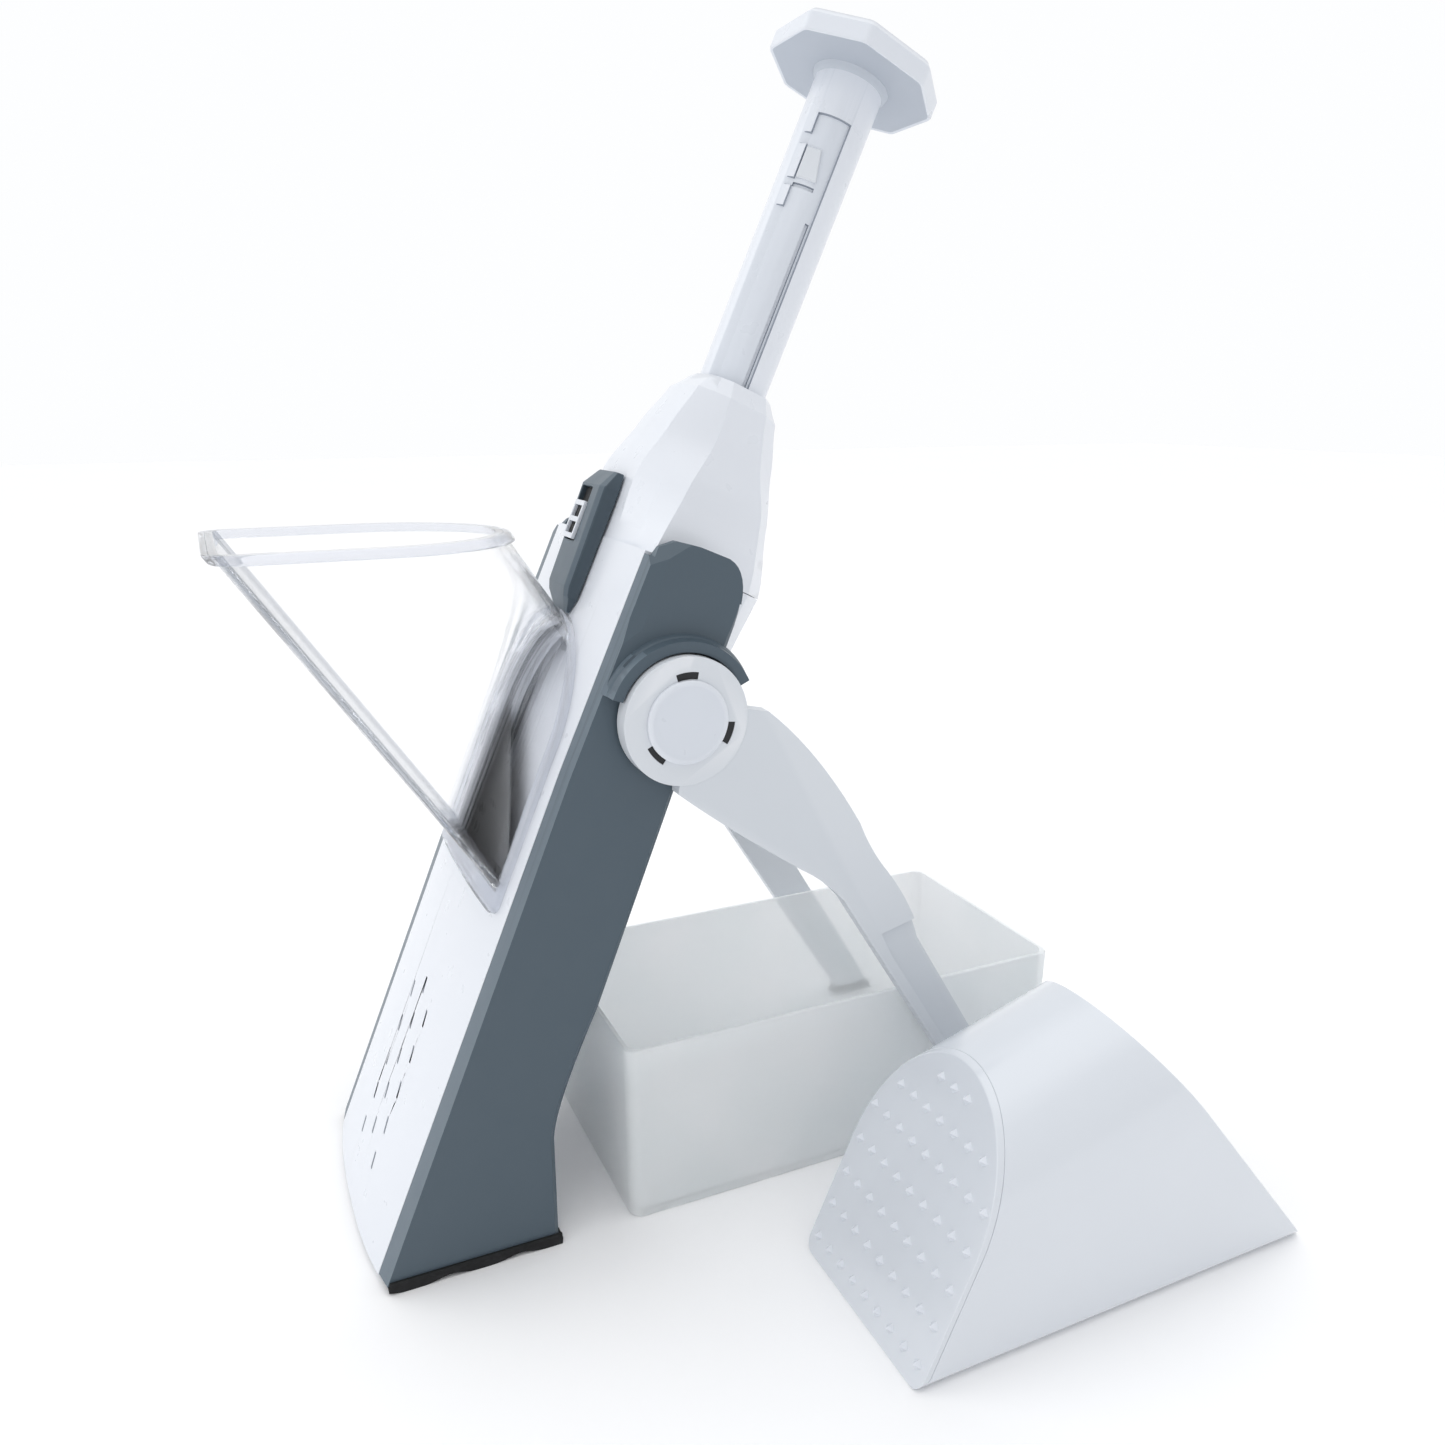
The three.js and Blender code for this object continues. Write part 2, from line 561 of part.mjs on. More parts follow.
// ---- folding leg ----
// leg frame: a runs from the pivot to the foot, b is square to it, towards the back
const legs = new THREE.Group();
const pivotY = PIVOT.n * Math.cos(LEAN) + PIVOT.u * Math.sin(LEAN);
const pivotZ = -PIVOT.n * Math.sin(LEAN) + PIVOT.u * Math.cos(LEAN);
legs.position.set(0, pivotY, pivotZ);
legs.rotation.x = LEG_ANGLE;
group.add(legs);
const LEG_END = { front: [226, -6.5], back: [236, 8] };

function legOutline() {
  const shape = new THREE.Shape();
  shape.moveTo(17.5, -17.2);
  shape.quadraticCurveTo(40, -12, 73, -1);
  shape.quadraticCurveTo(84, 3.5, 96, 4);
  shape.lineTo(LEG_END.front[0], LEG_END.front[1]);
  shape.lineTo(LEG_END.back[0], LEG_END.back[1]);
  shape.lineTo(134, 18);
  shape.quadraticCurveTo(120, 23.5, 100, 23.5);
  shape.quadraticCurveTo(88, 23, 76, 26);
  shape.quadraticCurveTo(42, 29.5, 17.4, 23.6);
  shape.lineTo(4, 12);
  shape.lineTo(0, 0);
  return shape;
}
const legBlank = join(
  alongX(legOutline(), HUB.inner + 0.7, HUB.outer - 0.3, 8),
  cylinderX(HUB.radius, HUB.inner, HUB.outer, 0, 0, 40),
);
const CHANNEL_OUTLINE = [[104, 9], [118, 9], [228, -1], [230, 5], [136, 14.5], [112, 19]];
const channel = alongX(CHANNEL_OUTLINE, HUB.outer - 3.4, 70);
const tableFlat = (() => {
  const geometry = new THREE.BoxGeometry(400, 400, 100);
  geometry.translate(0, 0, -50 + FOOT_HEIGHT - pivotZ);
  return solid(geometry.rotateX(-LEG_ANGLE));
})();
const legArm = cut(legBlank, channel, cylinderX(8, 40, 80, 0, 0), tableFlat);
mesh('leg_arm_right', legArm, WHITE, legs);
mesh('leg_arm_left', mirrored(legArm), WHITE, legs);
mesh('leg_cross_plate', alongX([[34, 21.5], [76, 20.5], [76, 24], [34, 25]], -56.6, 56.6), WHITE, legs);
for (const [side, sign] of [['right', 1], ['left', -1]]) {
  const cap = cylinderX(14, HUB.outer + GAP, HUB.outer + 2, 0, 0, 30);
  mesh(`leg_cap_${side}`, sign > 0 ? cap : mirrored(cap), WHITE, legs);
  const shoe = box(56.9, 63.5, pivotY + 130, pivotY + 150, 0, FOOT_HEIGHT - GAP);
  mesh(`leg_foot_${side}`, sign > 0 ? shoe : mirrored(shoe), BLACK, group);
  const flangeRing = cylinderX(11, 50, COVER_INSIDE - GAP, PIVOT.n, PIVOT.u);
  const pin = join(flangeRing, cylinderX(7, 50, HUB.outer - 1, PIVOT.n, PIVOT.u));
  mesh(`pivot_pin_${side}`, sign > 0 ? pin : mirrored(pin), GREY, body);
}

// ---- catch tray ----
function trayRing(inset, z, flare) {
  const corner = 5 - inset;
  const grow = flare * z / TRAY.height - inset - flare;
  const [x0, x1, y0, y1] = [TRAY.x0 - grow, TRAY.x1 + grow, TRAY.y0 - grow, TRAY.y1 + grow];
  const corners = [[x1 - corner, y0 + corner, -90], [x1 - corner, y1 - corner, 0],
    [x0 + corner, y1 - corner, 90], [x0 + corner, y0 + corner, 180]];
  return corners.flatMap(([x, y, start]) => [0, 45, 90].map((step) => {
    const angle = THREE.MathUtils.degToRad(start + step);
    return [x + corner * Math.cos(angle), y + corner * Math.sin(angle), z];
  }));
}
const tray = cut(
  loft([trayRing(0, 0, TRAY.flare), trayRing(0, TRAY.height, TRAY.flare)]),
  loft([trayRing(TRAY.wall, TRAY.wall, TRAY.flare), trayRing(TRAY.wall, TRAY.height + 1, TRAY.flare)]),
);
mesh('catch_tray', tray, FROST, group);

// ---- food pusher: hollow D-shaped shell with a toothed face plate ----
const tan = (degrees) => Math.tan(THREE.MathUtils.degToRad(degrees));
// the rounded top climbs towards the open end
const pusherTop = (y) => 84 + 0.3 * (y - 175.4);
function pusherSolid(inset) {
  // drawn standing on its open end, then laid down
  const laidDown = new THREE.Matrix4().makeRotationX(Math.PI / 2);
  const rings = [PUSHER.y1 + 60, PUSHER.y0 - 60].map((y) => {
    const top = pusherTop(y) - inset;
    const corner = Math.max(5 - inset, 1);
    const outline = arch(PUSHER.halfWidth - inset, inset, top + inset - PUSHER.arch, top, corner);
    const points = outline.getPoints(10);
    const distinct = points.filter((p, i) => p.distanceTo(points[(i + 1) % points.length]) > 0.01);
    return distinct.map((p) => [PUSHER.x + p.x, p.y, -y]);
  });
  return moved(loft(rings), laidDown);
}
function leaningSlab(y, lean, before) {
  const reach = before ? -400 : 400;
  const high = 200;
  return alongX([[y, -1], [y + high * tan(lean), high], [y + high * tan(lean) + reach, high],
    [y + reach, -1]], 0, 300);
}
const faceDepth = 2.5;
const inFront = leaningSlab(PUSHER.y0 + faceDepth + GAP, PUSHER.faceLean, true);
const behind = leaningSlab(PUSHER.y1, -PUSHER.endLean, false);
mesh('pusher_shell', cut(pusherSolid(0), pusherSolid(2.2), inFront, behind), WHITE, group);

function tooth(x, up) {
  const geometry = new THREE.ConeGeometry(1.5, 2.2, 4);
  geometry.rotateX(-Math.PI / 2).rotateX(-THREE.MathUtils.degToRad(PUSHER.faceLean));
  const lean = THREE.MathUtils.degToRad(PUSHER.faceLean);
  const y = PUSHER.y0 + up * Math.sin(lean) - 0.8 * Math.cos(lean);
  return solid(geometry.translate(PUSHER.x + x, y, up * Math.cos(lean) + 0.8 * Math.sin(lean)));
}
const toothRows = [
  [7.4, 30.5], [20.4, 30.5], [32.8, 30.5], [45.8, 30.5], [59, 30.5], [71.2, 22.5], [82.9, 7],
];
const teeth = toothRows.flatMap(([up, reach], row) => {
  const count = [9, 9, 9, 9, 9, 7, 3][row];
  return Array.from({ length: count }, (_, i) => tooth((2 * i / (count - 1) - 1) * reach, up));
});
const facePlate = cut(
  pusherSolid(0),
  leaningSlab(PUSHER.y0, PUSHER.faceLean, true),
  leaningSlab(PUSHER.y0 + faceDepth, PUSHER.faceLean, false),
);
mesh('pusher_face', join(facePlate, ...teeth), WHITE, group);

// ---- origin: middle of the whole object's footprint, on the table ----
group.updateMatrixWorld(true);
const bounds = new THREE.Box3().setFromObject(group, true);
const centre = bounds.getCenter(new THREE.Vector3());
group.position.set(-centre.x, -centre.y, -bounds.min.z);

export default group;
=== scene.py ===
"""The looks of a push-down vegetable slicer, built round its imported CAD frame.

Pieces are drawn in millimetres in one of three local frames, and carried into the row frame:
  table  x sideways, y to the back, z up, with the slicer's front lower corner at the origin
  lean   x sideways, n the depth from front to back, u up along the leaning slicer body
  leg    x sideways, a along the folding leg from its pivot, b square to it, to the back
"""
import math

import bmesh
import bpy
from mathutils import Matrix, Vector


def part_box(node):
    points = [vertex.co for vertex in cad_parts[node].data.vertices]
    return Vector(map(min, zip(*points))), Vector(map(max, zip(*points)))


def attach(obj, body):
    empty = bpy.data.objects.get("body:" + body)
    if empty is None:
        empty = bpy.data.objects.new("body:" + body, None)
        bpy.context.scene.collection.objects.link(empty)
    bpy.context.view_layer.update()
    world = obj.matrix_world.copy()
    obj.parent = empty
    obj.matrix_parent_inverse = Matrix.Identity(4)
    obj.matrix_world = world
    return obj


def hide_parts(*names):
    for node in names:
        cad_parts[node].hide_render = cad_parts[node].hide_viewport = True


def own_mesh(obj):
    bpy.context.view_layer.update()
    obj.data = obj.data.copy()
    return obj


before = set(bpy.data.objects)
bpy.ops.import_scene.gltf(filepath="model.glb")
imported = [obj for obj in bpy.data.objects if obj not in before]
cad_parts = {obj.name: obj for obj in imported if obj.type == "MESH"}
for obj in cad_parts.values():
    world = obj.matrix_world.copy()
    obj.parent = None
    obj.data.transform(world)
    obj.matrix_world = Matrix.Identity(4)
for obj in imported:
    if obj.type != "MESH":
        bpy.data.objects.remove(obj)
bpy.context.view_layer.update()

# ---- driving sizes, in millimetres and degrees ----
MM = 0.001
LEAN = math.radians(24)
HALF_WIDTH = 55
PANEL_HALF = 46.9
COVER_INSIDE = 52
WALL = 2.5
PANEL_STRAIGHT = 185
FOOT_HEIGHT = 3
HEM_HEIGHT = 2.4
AXIS_N = 20
TUBE_RADIUS = 12.5
PIVOT_N, PIVOT_U = 21, 216
HUB_RADIUS, HUB_INNER, HUB_OUTER = 21.5, 56.3, 63.3
LEG_ANGLE = math.atan2(-0.8, 0.6)
CHUTE_HALF, CHUTE_STRAIGHT, CHUTE_WALL = 37, 40, 2
RIM_HEIGHT, RIM_FRONT = 246, -27

# ---- local frames ----
housing_low, housing_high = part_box("front_housing")
foot_low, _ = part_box("foot_pad_right")
FOOT_FRONT = 0.6 * MM
ORIGIN = Vector(((housing_low.x + housing_high.x) / 2, foot_low.y - FOOT_FRONT, 0))
TABLE = Matrix.Translation(ORIGIN) @ Matrix.Scale(MM, 4)
BODY = TABLE @ Matrix.Rotation(-LEAN, 4, "X")
PIVOT_Y = PIVOT_N * math.cos(LEAN) + PIVOT_U * math.sin(LEAN)
PIVOT_Z = PIVOT_U * math.cos(LEAN) - PIVOT_N * math.sin(LEAN)
LEG = TABLE @ Matrix.Translation((0, PIVOT_Y, PIVOT_Z)) @ Matrix.Rotation(LEG_ANGLE, 4, "X")
MIRROR = Matrix.Scale(-1, 4, (1, 0, 0))


# ---- outlines ----
def arc(cx, cy, radius, start, end, steps=12, squash=1.0):
    """Points on an arc, angles in degrees; squash scales its second axis."""
    angles = [math.radians(start + (end - start) * i / steps) for i in range(steps + 1)]
    return [(cx + radius * math.cos(t), cy + radius * squash * math.sin(t)) for t in angles]


def bend(start, pull, end, steps=8):
    """Points on a quadratic curve from start to end, without the start."""
    points = []
    for i in range(1, steps + 1):
        t = i / steps
        weights = ((1 - t) ** 2, 2 * t * (1 - t), t * t)
        points.append(tuple(sum(w * p[k] for w, p in zip(weights, (start, pull, end))) for k in (0, 1)))
    return points


def rounded(outline, radius, steps=5):
    """The outline with each corner replaced by a small curve."""
    out = []
    count = len(outline)
    for i, corner in enumerate(outline):
        before, here = Vector(outline[i - 1]), Vector(corner)
        after = Vector(outline[(i + 1) % count])
        reach_in = min(radius, (before - here).length / 2.2)
        reach_out = min(radius, (after - here).length / 2.2)
        start = here + (before - here).normalized() * reach_in
        end = here + (after - here).normalized() * reach_out
        out += [tuple(start)] + bend(start, here, end, steps)
    return out


def arch(half, bottom, straight, top, corner=0.0, steps=40):
    """A window outline with square lower corners and an elliptic top."""
    side = max(half, 0.01)
    lower = [(-side, bottom), (side, bottom)]
    if corner:
        lower = (arc(-side + corner, bottom + corner, corner, 180, 270, 6)
                 + arc(side - corner, bottom + corner, corner, 270, 360, 6))
    return lower + arc(0, straight, side, 0, 180, steps, (top - straight) / side)


# ---- solids, each a (vertices, faces) pair in a local frame ----
def loft(rings):
    """A closed skin over rings that have equally many points."""
    count = len(rings[0])
    verts = [tuple(point) for ring in rings for point in ring]
    faces = []
    for level in range(len(rings) - 1):
        for i in range(count):
            a, b = level * count + i, level * count + (i + 1) % count
            faces.append((a, b, b + count, a + count))
    last = (len(rings) - 1) * count
    faces.append(tuple(reversed(range(count))))
    faces.append(tuple(range(last, last + count)))
    return verts, faces


def along(axis, outline, low, high):
    """An outline in the other two axes, in order, carried along an axis."""
    place = {
        "x": lambda a, b, t: (t, a, b),
        "y": lambda a, b, t: (a, t, b),
        "z": lambda a, b, t: (a, b, t),
    }[axis]
    return loft([[place(a, b, t) for a, b in outline] for t in (low, high)])


def block(x0, x1, y0, y1, z0, z1):
    return along("z", [(x0, y0), (x1, y0), (x1, y1), (x0, y1)], z0, z1)


def circle(a, b, radius, sides):
    return arc(a, b, radius, 0, 360 - 360 / sides, sides - 1)


def rod(axis, a, b, radius, low, high, sides=32):
    return along(axis, circle(a, b, radius, sides), low, high)


def turned(profile, sides=48, centre=(0, 0)):
    """A solid of revolution about the third axis, from (radius, height) points off the axis."""
    rings = [[(x, y, height) for x, y in circle(*centre, radius, sides)] for radius, height in profile]
    return loft(rings)


def carried(part, matrix):
    verts, faces = part
    return [tuple(matrix @ Vector(v)) for v in verts], faces


def hull(points):
    """The convex solid round some points."""
    bm = bmesh.new()
    for point in points:
        bm.verts.new(point)
    bmesh.ops.convex_hull(bm, input=bm.verts)
    spare = [v for v in bm.verts if not v.link_faces]
    bmesh.ops.delete(bm, geom=spare, context="VERTS")
    bm.verts.index_update()
    part = ([tuple(v.co) for v in bm.verts], [tuple(v.index for v in f.verts) for f in bm.faces])
    bm.free()
    return part


def beyond(a, b, c, reach=90):
    """The solid on the outer side of a plane, which faces the way a, b, c turn."""
    a, b, c = Vector(a), Vector(b), Vector(c)
    normal = (b - a).cross(c - a).normalized()
    first = (b - a).normalized()
    second = normal.cross(first)
    square = [a + (first * i + second * j) * reach for i, j in ((-1, -1), (1, -1), (1, 1), (-1, 1))]
    return loft([square, [p + normal * reach for p in square]])


def mesh_of(name, parts):
    """One mesh of several solids, with their faces pointing out."""
    bm = bmesh.new()
    for verts, faces in parts:
        made = [bm.verts.new(v) for v in verts]
        for face in faces:
            bm.faces.new([made[i] for i in face])
    bmesh.ops.recalc_face_normals(bm, faces=bm.faces)
    mesh = bpy.data.meshes.new(name)
    bm.to_mesh(mesh)
    bm.free()
    return mesh


def settle(obj):
    """Applies the object's modifiers to its mesh."""
    bpy.context.view_layer.update()
    final = obj.evaluated_get(bpy.context.evaluated_depsgraph_get())
    old = obj.data
    obj.data = bpy.data.meshes.new_from_object(final)
    obj.modifiers.clear()
    bpy.data.meshes.remove(old)


def boolean(obj, parts, operation):
    """Joins solids to the object's mesh, or cuts them from it, one after another."""
    for part in parts:
        tool = bpy.data.objects.new("tool", mesh_of("tool", [part]))
        bpy.context.scene.collection.objects.link(tool)
        step = obj.modifiers.new("step", "BOOLEAN")
        step.operation, step.object, step.solver = operation, tool, "EXACT"
        settle(obj)
        tool_mesh = tool.data
        bpy.data.objects.remove(tool)
        bpy.data.meshes.remove(tool_mesh)


def carved(base, steps):
    """The solid left of a base after some boolean steps, each an operation and its tool."""
    rough = bpy.data.objects.new("rough", mesh_of("rough", [base]))
    bpy.context.scene.collection.objects.link(rough)
    for operation, tool in steps:
        boolean(rough, [tool], operation)
    mesh = rough.data
    part = ([tuple(v.co) for v in mesh.vertices], [tuple(p.vertices) for p in mesh.polygons])
    bpy.data.objects.remove(rough)
    bpy.data.meshes.remove(mesh)
    return part


def piece(name, parts, place, material, body, replaces=(), add=(), cut=(), bevel=0.0, segments=3,
          limit=30, smooth=32):
    """Makes one visible piece: solids joined and cut, edges rounded, finished, and riding on a body."""
    obj = bpy.data.objects.new(name, mesh_of(name, parts))
    bpy.context.scene.collection.objects.link(obj)
    boolean(obj, add, "UNION")
    boolean(obj, cut, "DIFFERENCE")
    if add or cut:
        tidy = obj.modifiers.new("tidy", "DECIMATE")
        tidy.decimate_type, tidy.angle_limit = "DISSOLVE", math.radians(0.4)
        settle(obj)
    if bevel:
        soften = obj.modifiers.new("soften", "BEVEL")
        soften.width, soften.segments, soften.limit_method = bevel, segments, "ANGLE"
        soften.angle_limit = math.radians(limit)
        soften.use_clamp_overlap = True
        soften.miter_outer = "MITER_ARC"
        settle(obj)
    obj.data.name = name
    obj.data.transform(place)
    if place.determinant() < 0:
        obj.data.flip_normals()
    obj.data.shade_smooth()
    obj.data.set_sharp_from_angle(angle=math.radians(smooth))
    weigh = obj.modifiers.new("weigh", "WEIGHTED_NORMAL")
    weigh.keep_sharp = True
    obj.data.materials.clear()
    obj.data.materials.append(material)
    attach(obj, body)
    if replaces:
        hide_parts(*replaces)
    return obj


def paint(obj, material, chosen):
    """Gives a second material to the faces that a test picks."""
    obj.data.materials.append(material)
    for face in obj.data.polygons:
        if chosen(face):
            face.material_index = 1


# ---- materials ----
def srgb(red, green, blue):
    """A linear colour from 8-bit display values."""
    def linear(value):
        return ((value / 255 + 0.055) / 1.055) ** 2.4 if value > 10 else value / 255 / 12.92
    return linear(red), linear(green), linear(blue), 1


class Finish:
    """A node material with a few helpers for noise, ramps and bumps in object space."""

    def __init__(self, name):
        self.material = bpy.data.materials.new(name)
        self.material.use_nodes = True
        self.nodes = self.material.node_tree.nodes
        self.links = self.material.node_tree.links
        self.shader = self.nodes["Principled BSDF"]
        self.coordinates = self.nodes.new("ShaderNodeTexCoord").outputs["Object"]

    def set(self, **values):
        for socket, value in values.items():
            self.shader.inputs[socket.replace("_", " ")].default_value = value
        return self

    def link(self, source, socket):
        self.links.new(source, self.shader.inputs[socket])

    def noise(self, scale, detail=3.0, stretch=(1, 1, 1)):
        mapping = self.nodes.new("ShaderNodeMapping")
        mapping.inputs["Scale"].default_value = stretch
        self.links.new(self.coordinates, mapping.inputs["Vector"])
        noise = self.nodes.new("ShaderNodeTexNoise")
        noise.inputs["Scale"].default_value = scale
        noise.inputs["Detail"].default_value = detail
        self.links.new(mapping.outputs["Vector"], noise.inputs["Vector"])
        return noise.outputs["Fac"]

    def ramp(self, source, low, high, start=0.0, end=1.0):
        """Maps the source from [start, end] to [low, high]."""
        node = self.nodes.new("ShaderNodeMapRange")
        for socket, value in (("From Min", start), ("From Max", end), ("To Min", low), ("To Max", high)):
            node.inputs[socket].default_value = value
        self.links.new(source, node.inputs["Value"])
        return node.outputs["Result"]

    def join(self, operation, first, second):
        node = self.nodes.new("ShaderNodeMath")
        node.operation = operation
        for socket, value in zip(node.inputs, (first, second)):
            if isinstance(value, (int, float)):
                socket.default_value = value
            else:
                self.links.new(value, socket)
        return node.outputs["Value"]

    def tint(self, factor, colour, other):
        node = self.nodes.new("ShaderNodeMix")
        node.data_type = "RGBA"
        self.links.new(factor, node.inputs["Factor"])
        for socket, value in ((node.inputs["A"], colour), (node.inputs["B"], other)):
            if isinstance(value, tuple):
                socket.default_value = value
            else:
                self.links.new(value, socket)
        return node.outputs["Result"]

    def bump(self, height, strength, depth_mm):
        node = self.nodes.new("ShaderNodeBump")
        node.inputs["Strength"].default_value = strength
        node.inputs["Distance"].default_value = depth_mm * MM
        self.links.new(height, node.inputs["Height"])
        self.link(node.outputs["Normal"], "Normal")


def plastic(name, colour, worn, roughness, grain=0.35, grain_scale=1900, coat=0.0):
    """Injection-moulded plastic: fine spark-eroded grain, slow tone drift, rubbed edges and hairlines."""
    finish = Finish(name)
    drift = finish.noise(14, 2)
    edge = finish.nodes.new("ShaderNodeNewGeometry").outputs["Pointiness"]
    rubbed = finish.ramp(edge, 0, 1, 0.51, 0.58)
    darker = tuple(0.93 * c for c in colour[:3]) + (1,)
    toned = finish.tint(finish.ramp(drift, 0, 0.35, 0.35, 0.7), colour, darker)
    finish.link(finish.tint(finish.join("MULTIPLY", rubbed, 0.55), toned, worn), "Base Color")
    hairline = finish.ramp(finish.noise(160, 4, (1, 12, 0.5)), 0, 1, 0.7, 0.76)
    mottled = finish.ramp(finish.noise(120, 3), roughness - 0.03, roughness + 0.03, 0.3, 0.7)
    finish.link(finish.join("ADD", mottled, finish.join("MULTIPLY", hairline, 0.02)), "Roughness")
    finish.bump(finish.noise(grain_scale, 2), grain, 0.05)
    return finish.set(Coat_Weight=coat, Coat_Roughness=0.12).material


WHITE = plastic("white_plastic", srgb(216, 221, 229), srgb(236, 239, 245), 0.3, 0.08, coat=0.25)
# A darker white: painted shade under the palm knob.
SHADE = plastic("white_painted_shade", srgb(184, 191, 201), srgb(206, 212, 220), 0.6, 0.3)
GLOSS = plastic("glossy_white", srgb(214, 219, 226), srgb(238, 241, 246), 0.2, 0.05, coat=0.6)
SATIN = plastic("satin_white", srgb(212, 217, 223), srgb(238, 240, 244), 0.4, 0.15)
SLATE = plastic("slate_plastic", srgb(54, 68, 79), srgb(88, 103, 114), 0.5, 0.4)
# A lighter copy of the slate: painted light for faces that look forward, towards the key light.
LIT_SLATE = plastic("slate_painted_light", srgb(84, 98, 109), srgb(108, 122, 133), 0.42, 0.3)
GROOVE_SHADE = plastic("groove_shadow", srgb(150, 157, 168), srgb(176, 182, 191), 0.6, 0.2)
VENT_SHADE = plastic("vent_shadow", srgb(112, 120, 130), srgb(132, 139, 148), 0.7, 0.3)
GREY = plastic("grey_plastic", srgb(214, 218, 226), srgb(226, 230, 237), 0.45, 0.3)
BLACK = plastic("black_plastic", srgb(13, 14, 16), srgb(38, 40, 44), 0.62, 0.4)


def rubber():
    finish = Finish("black_rubber")
    dust = finish.ramp(finish.noise(220, 5), 0, 0.5, 0.5, 0.75)
    finish.link(finish.tint(dust, srgb(16, 17, 19), srgb(52, 53, 55)), "Base Color")
    finish.link(finish.ramp(finish.noise(400, 3), 0.68, 0.92), "Roughness")
    finish.bump(finish.noise(900, 4), 0.5, 0.12)
    return finish.material


def steel(name, stretch, metallic=1.0):
    """Brushed steel, its hairlines running along the smallest stretch."""
    finish = Finish(name)
    brushed = finish.noise(240, 4, stretch)
    finish.link(finish.tint(finish.ramp(brushed, 0, 1, 0.3, 0.7), srgb(214, 216, 222), srgb(234, 236, 241)),
                "Base Color")
    finish.link(finish.ramp(brushed, 0.16, 0.36, 0.3, 0.7), "Roughness")
    finish.bump(brushed, 0.08, 0.04)
    return finish.set(Metallic=metallic).material


def clear(name, tone, edge_shade_tone, thin):
    """Clear moulded plastic: faint ripples, handling haze, glossy skin, and edges painted darker where the
    wall is seen edge-on, as painted shade.
    """
    finish = Finish(name)
    facing = finish.nodes.new("ShaderNodeLayerWeight")
    facing.inputs["Blend"].default_value = 0.3
    edge = finish.ramp(facing.outputs["Facing"], 0, 1.0, 0.42, 0.85)
    # Painted shade: the colour darkens towards the edge-on parts of the wall.
    finish.link(finish.tint(edge, tone, edge_shade_tone), "Base Color")
    finish.link(finish.ramp(facing.outputs["Facing"], thin, 1.0, 0.3, 0.75), "Alpha")
    finish.link(finish.ramp(finish.noise(60, 5), 0.0, 0.05, 0.45, 0.8), "Roughness")
    finish.bump(finish.noise(45, 1), 0.04, 0.25)
    return finish.set(Transmission_Weight=1.0, IOR=1.06, Coat_Weight=0.7, Coat_Roughness=0.03).material


def frosted():
    """Milky translucent plastic with a fine sprayed-mould texture."""
    finish = Finish("frosted_plastic")
    cloud = finish.ramp(finish.noise(26, 3), 0, 1, 0.3, 0.7)
    finish.link(finish.tint(cloud, srgb(251, 252, 253), srgb(245, 248, 249)), "Base Color")
    finish.link(finish.ramp(finish.noise(160, 4), 0.36, 0.56), "Roughness")
    finish.bump(finish.noise(1300, 3), 0.3, 0.06)
    return finish.set(Transmission_Weight=0.55, IOR=1.06).material


RUBBER = rubber()
STEEL = steel("brushed_steel", (0.15, 3, 3), 0.6)
WIRE = steel("drawn_wire", (2, 2, 2))
CLEAR = clear("clear_plastic", srgb(254, 254, 255), srgb(92, 99, 108), 0.4)
CLEAR_RIM = clear("clear_rim", srgb(226, 229, 236), srgb(84, 91, 100), 0.7)
# A darker clear for the chute's lower corners: painted shade.
CLEAR_CORNER_SHADE = clear("clear_corner_shade", srgb(150, 156, 165), srgb(60, 66, 74), 0.8)
FROSTED = frosted()


# ---- the leaning front's shape ----
def rise(u):
    return min(u, PANEL_STRAIGHT) - 5


def edge_depth(u):
    return -1.2 - 0.028 * rise(u)


def panel_depth(x, u):
    """Depth of the crowned front face."""
    middle = -5.9 - 0.02 * rise(u)
    return middle + (edge_depth(u) - middle) * (abs(x) / HALF_WIDTH) ** 2.5


def across(half, u, set_back=0.0, steps=48):
    places = [half * (2 * i / steps - 1) for i in range(steps + 1)]
    return [(x, panel_depth(x, u) + set_back, u) for x in places]


def table_slab(height, thickness=60):
    """Everything just under a height over the table, in the lean frame."""
    slab = block(-200, 200, -200, 300, height - thickness, height)
    return carried(slab, Matrix.Rotation(LEAN, 4, "X"))


# ---- front housing ----
NECK = [
    (262, [(0, -9.6), (20, -8.6), (35, -6.6), (47.5, -4.4), (33, 40), (20, 51)]),
    (286, [(0, -9.6), (17, -8.6), (26, -2.6), (33, 4.6), (26, 38), (16, 46)]),
    (307, [(0, -4.5), (15, -2.5), (19, 4.5), (22, 12.5), (22, 31), (13, 40.5)]),
    (322, [(0, 1), (13, 2.5), (16.5, 7.5), (19, 13), (19, 28), (11.5, 36)]),
    (328, [(0, 5.5), (9.5, 7), (13, 9.5), (15.5, 13.5), (15.5, 27), (9, 32.5)]),
]
NECK_INSET = [(0, 1), (-1, 1), (-2, 0.9), (-2.8, 0.6), (-2.5, -0.4), (-1.5, -1)]


def neck_levels(low, high, inset=0, step=3.0):
    """Rings between two levels, eased through the drawn sections."""
    count = max(2, round((high - low) / step))
    rings = []
    for i in range(count + 1):
        u = low + (high - low) * i / count
        k = max(j for j in range(len(NECK) - 1) if NECK[j][0] <= u or j == 0)
        sections = [NECK[min(max(k + d, 0), len(NECK) - 1)] for d in (-1, 0, 1, 2)]
        t = (u - sections[1][0]) / (sections[2][0] - sections[1][0])
        half = []
        for points in zip(*(section[1] for section in sections)):
            mixed = []
            for before, here, after, later in zip(*points):
                pull_in, pull_out = (after - before) * 0.36, (later - here) * 0.36
                mixed.append((2 * t ** 3 - 3 * t * t + 1) * here + (t ** 3 - 2 * t * t + t) * pull_in
                             + (3 * t * t - 2 * t ** 3) * after + (t ** 3 - t * t) * pull_out)
            half.append(tuple(mixed))
        rings.append(neck_ring(u, half, inset))
    return rings


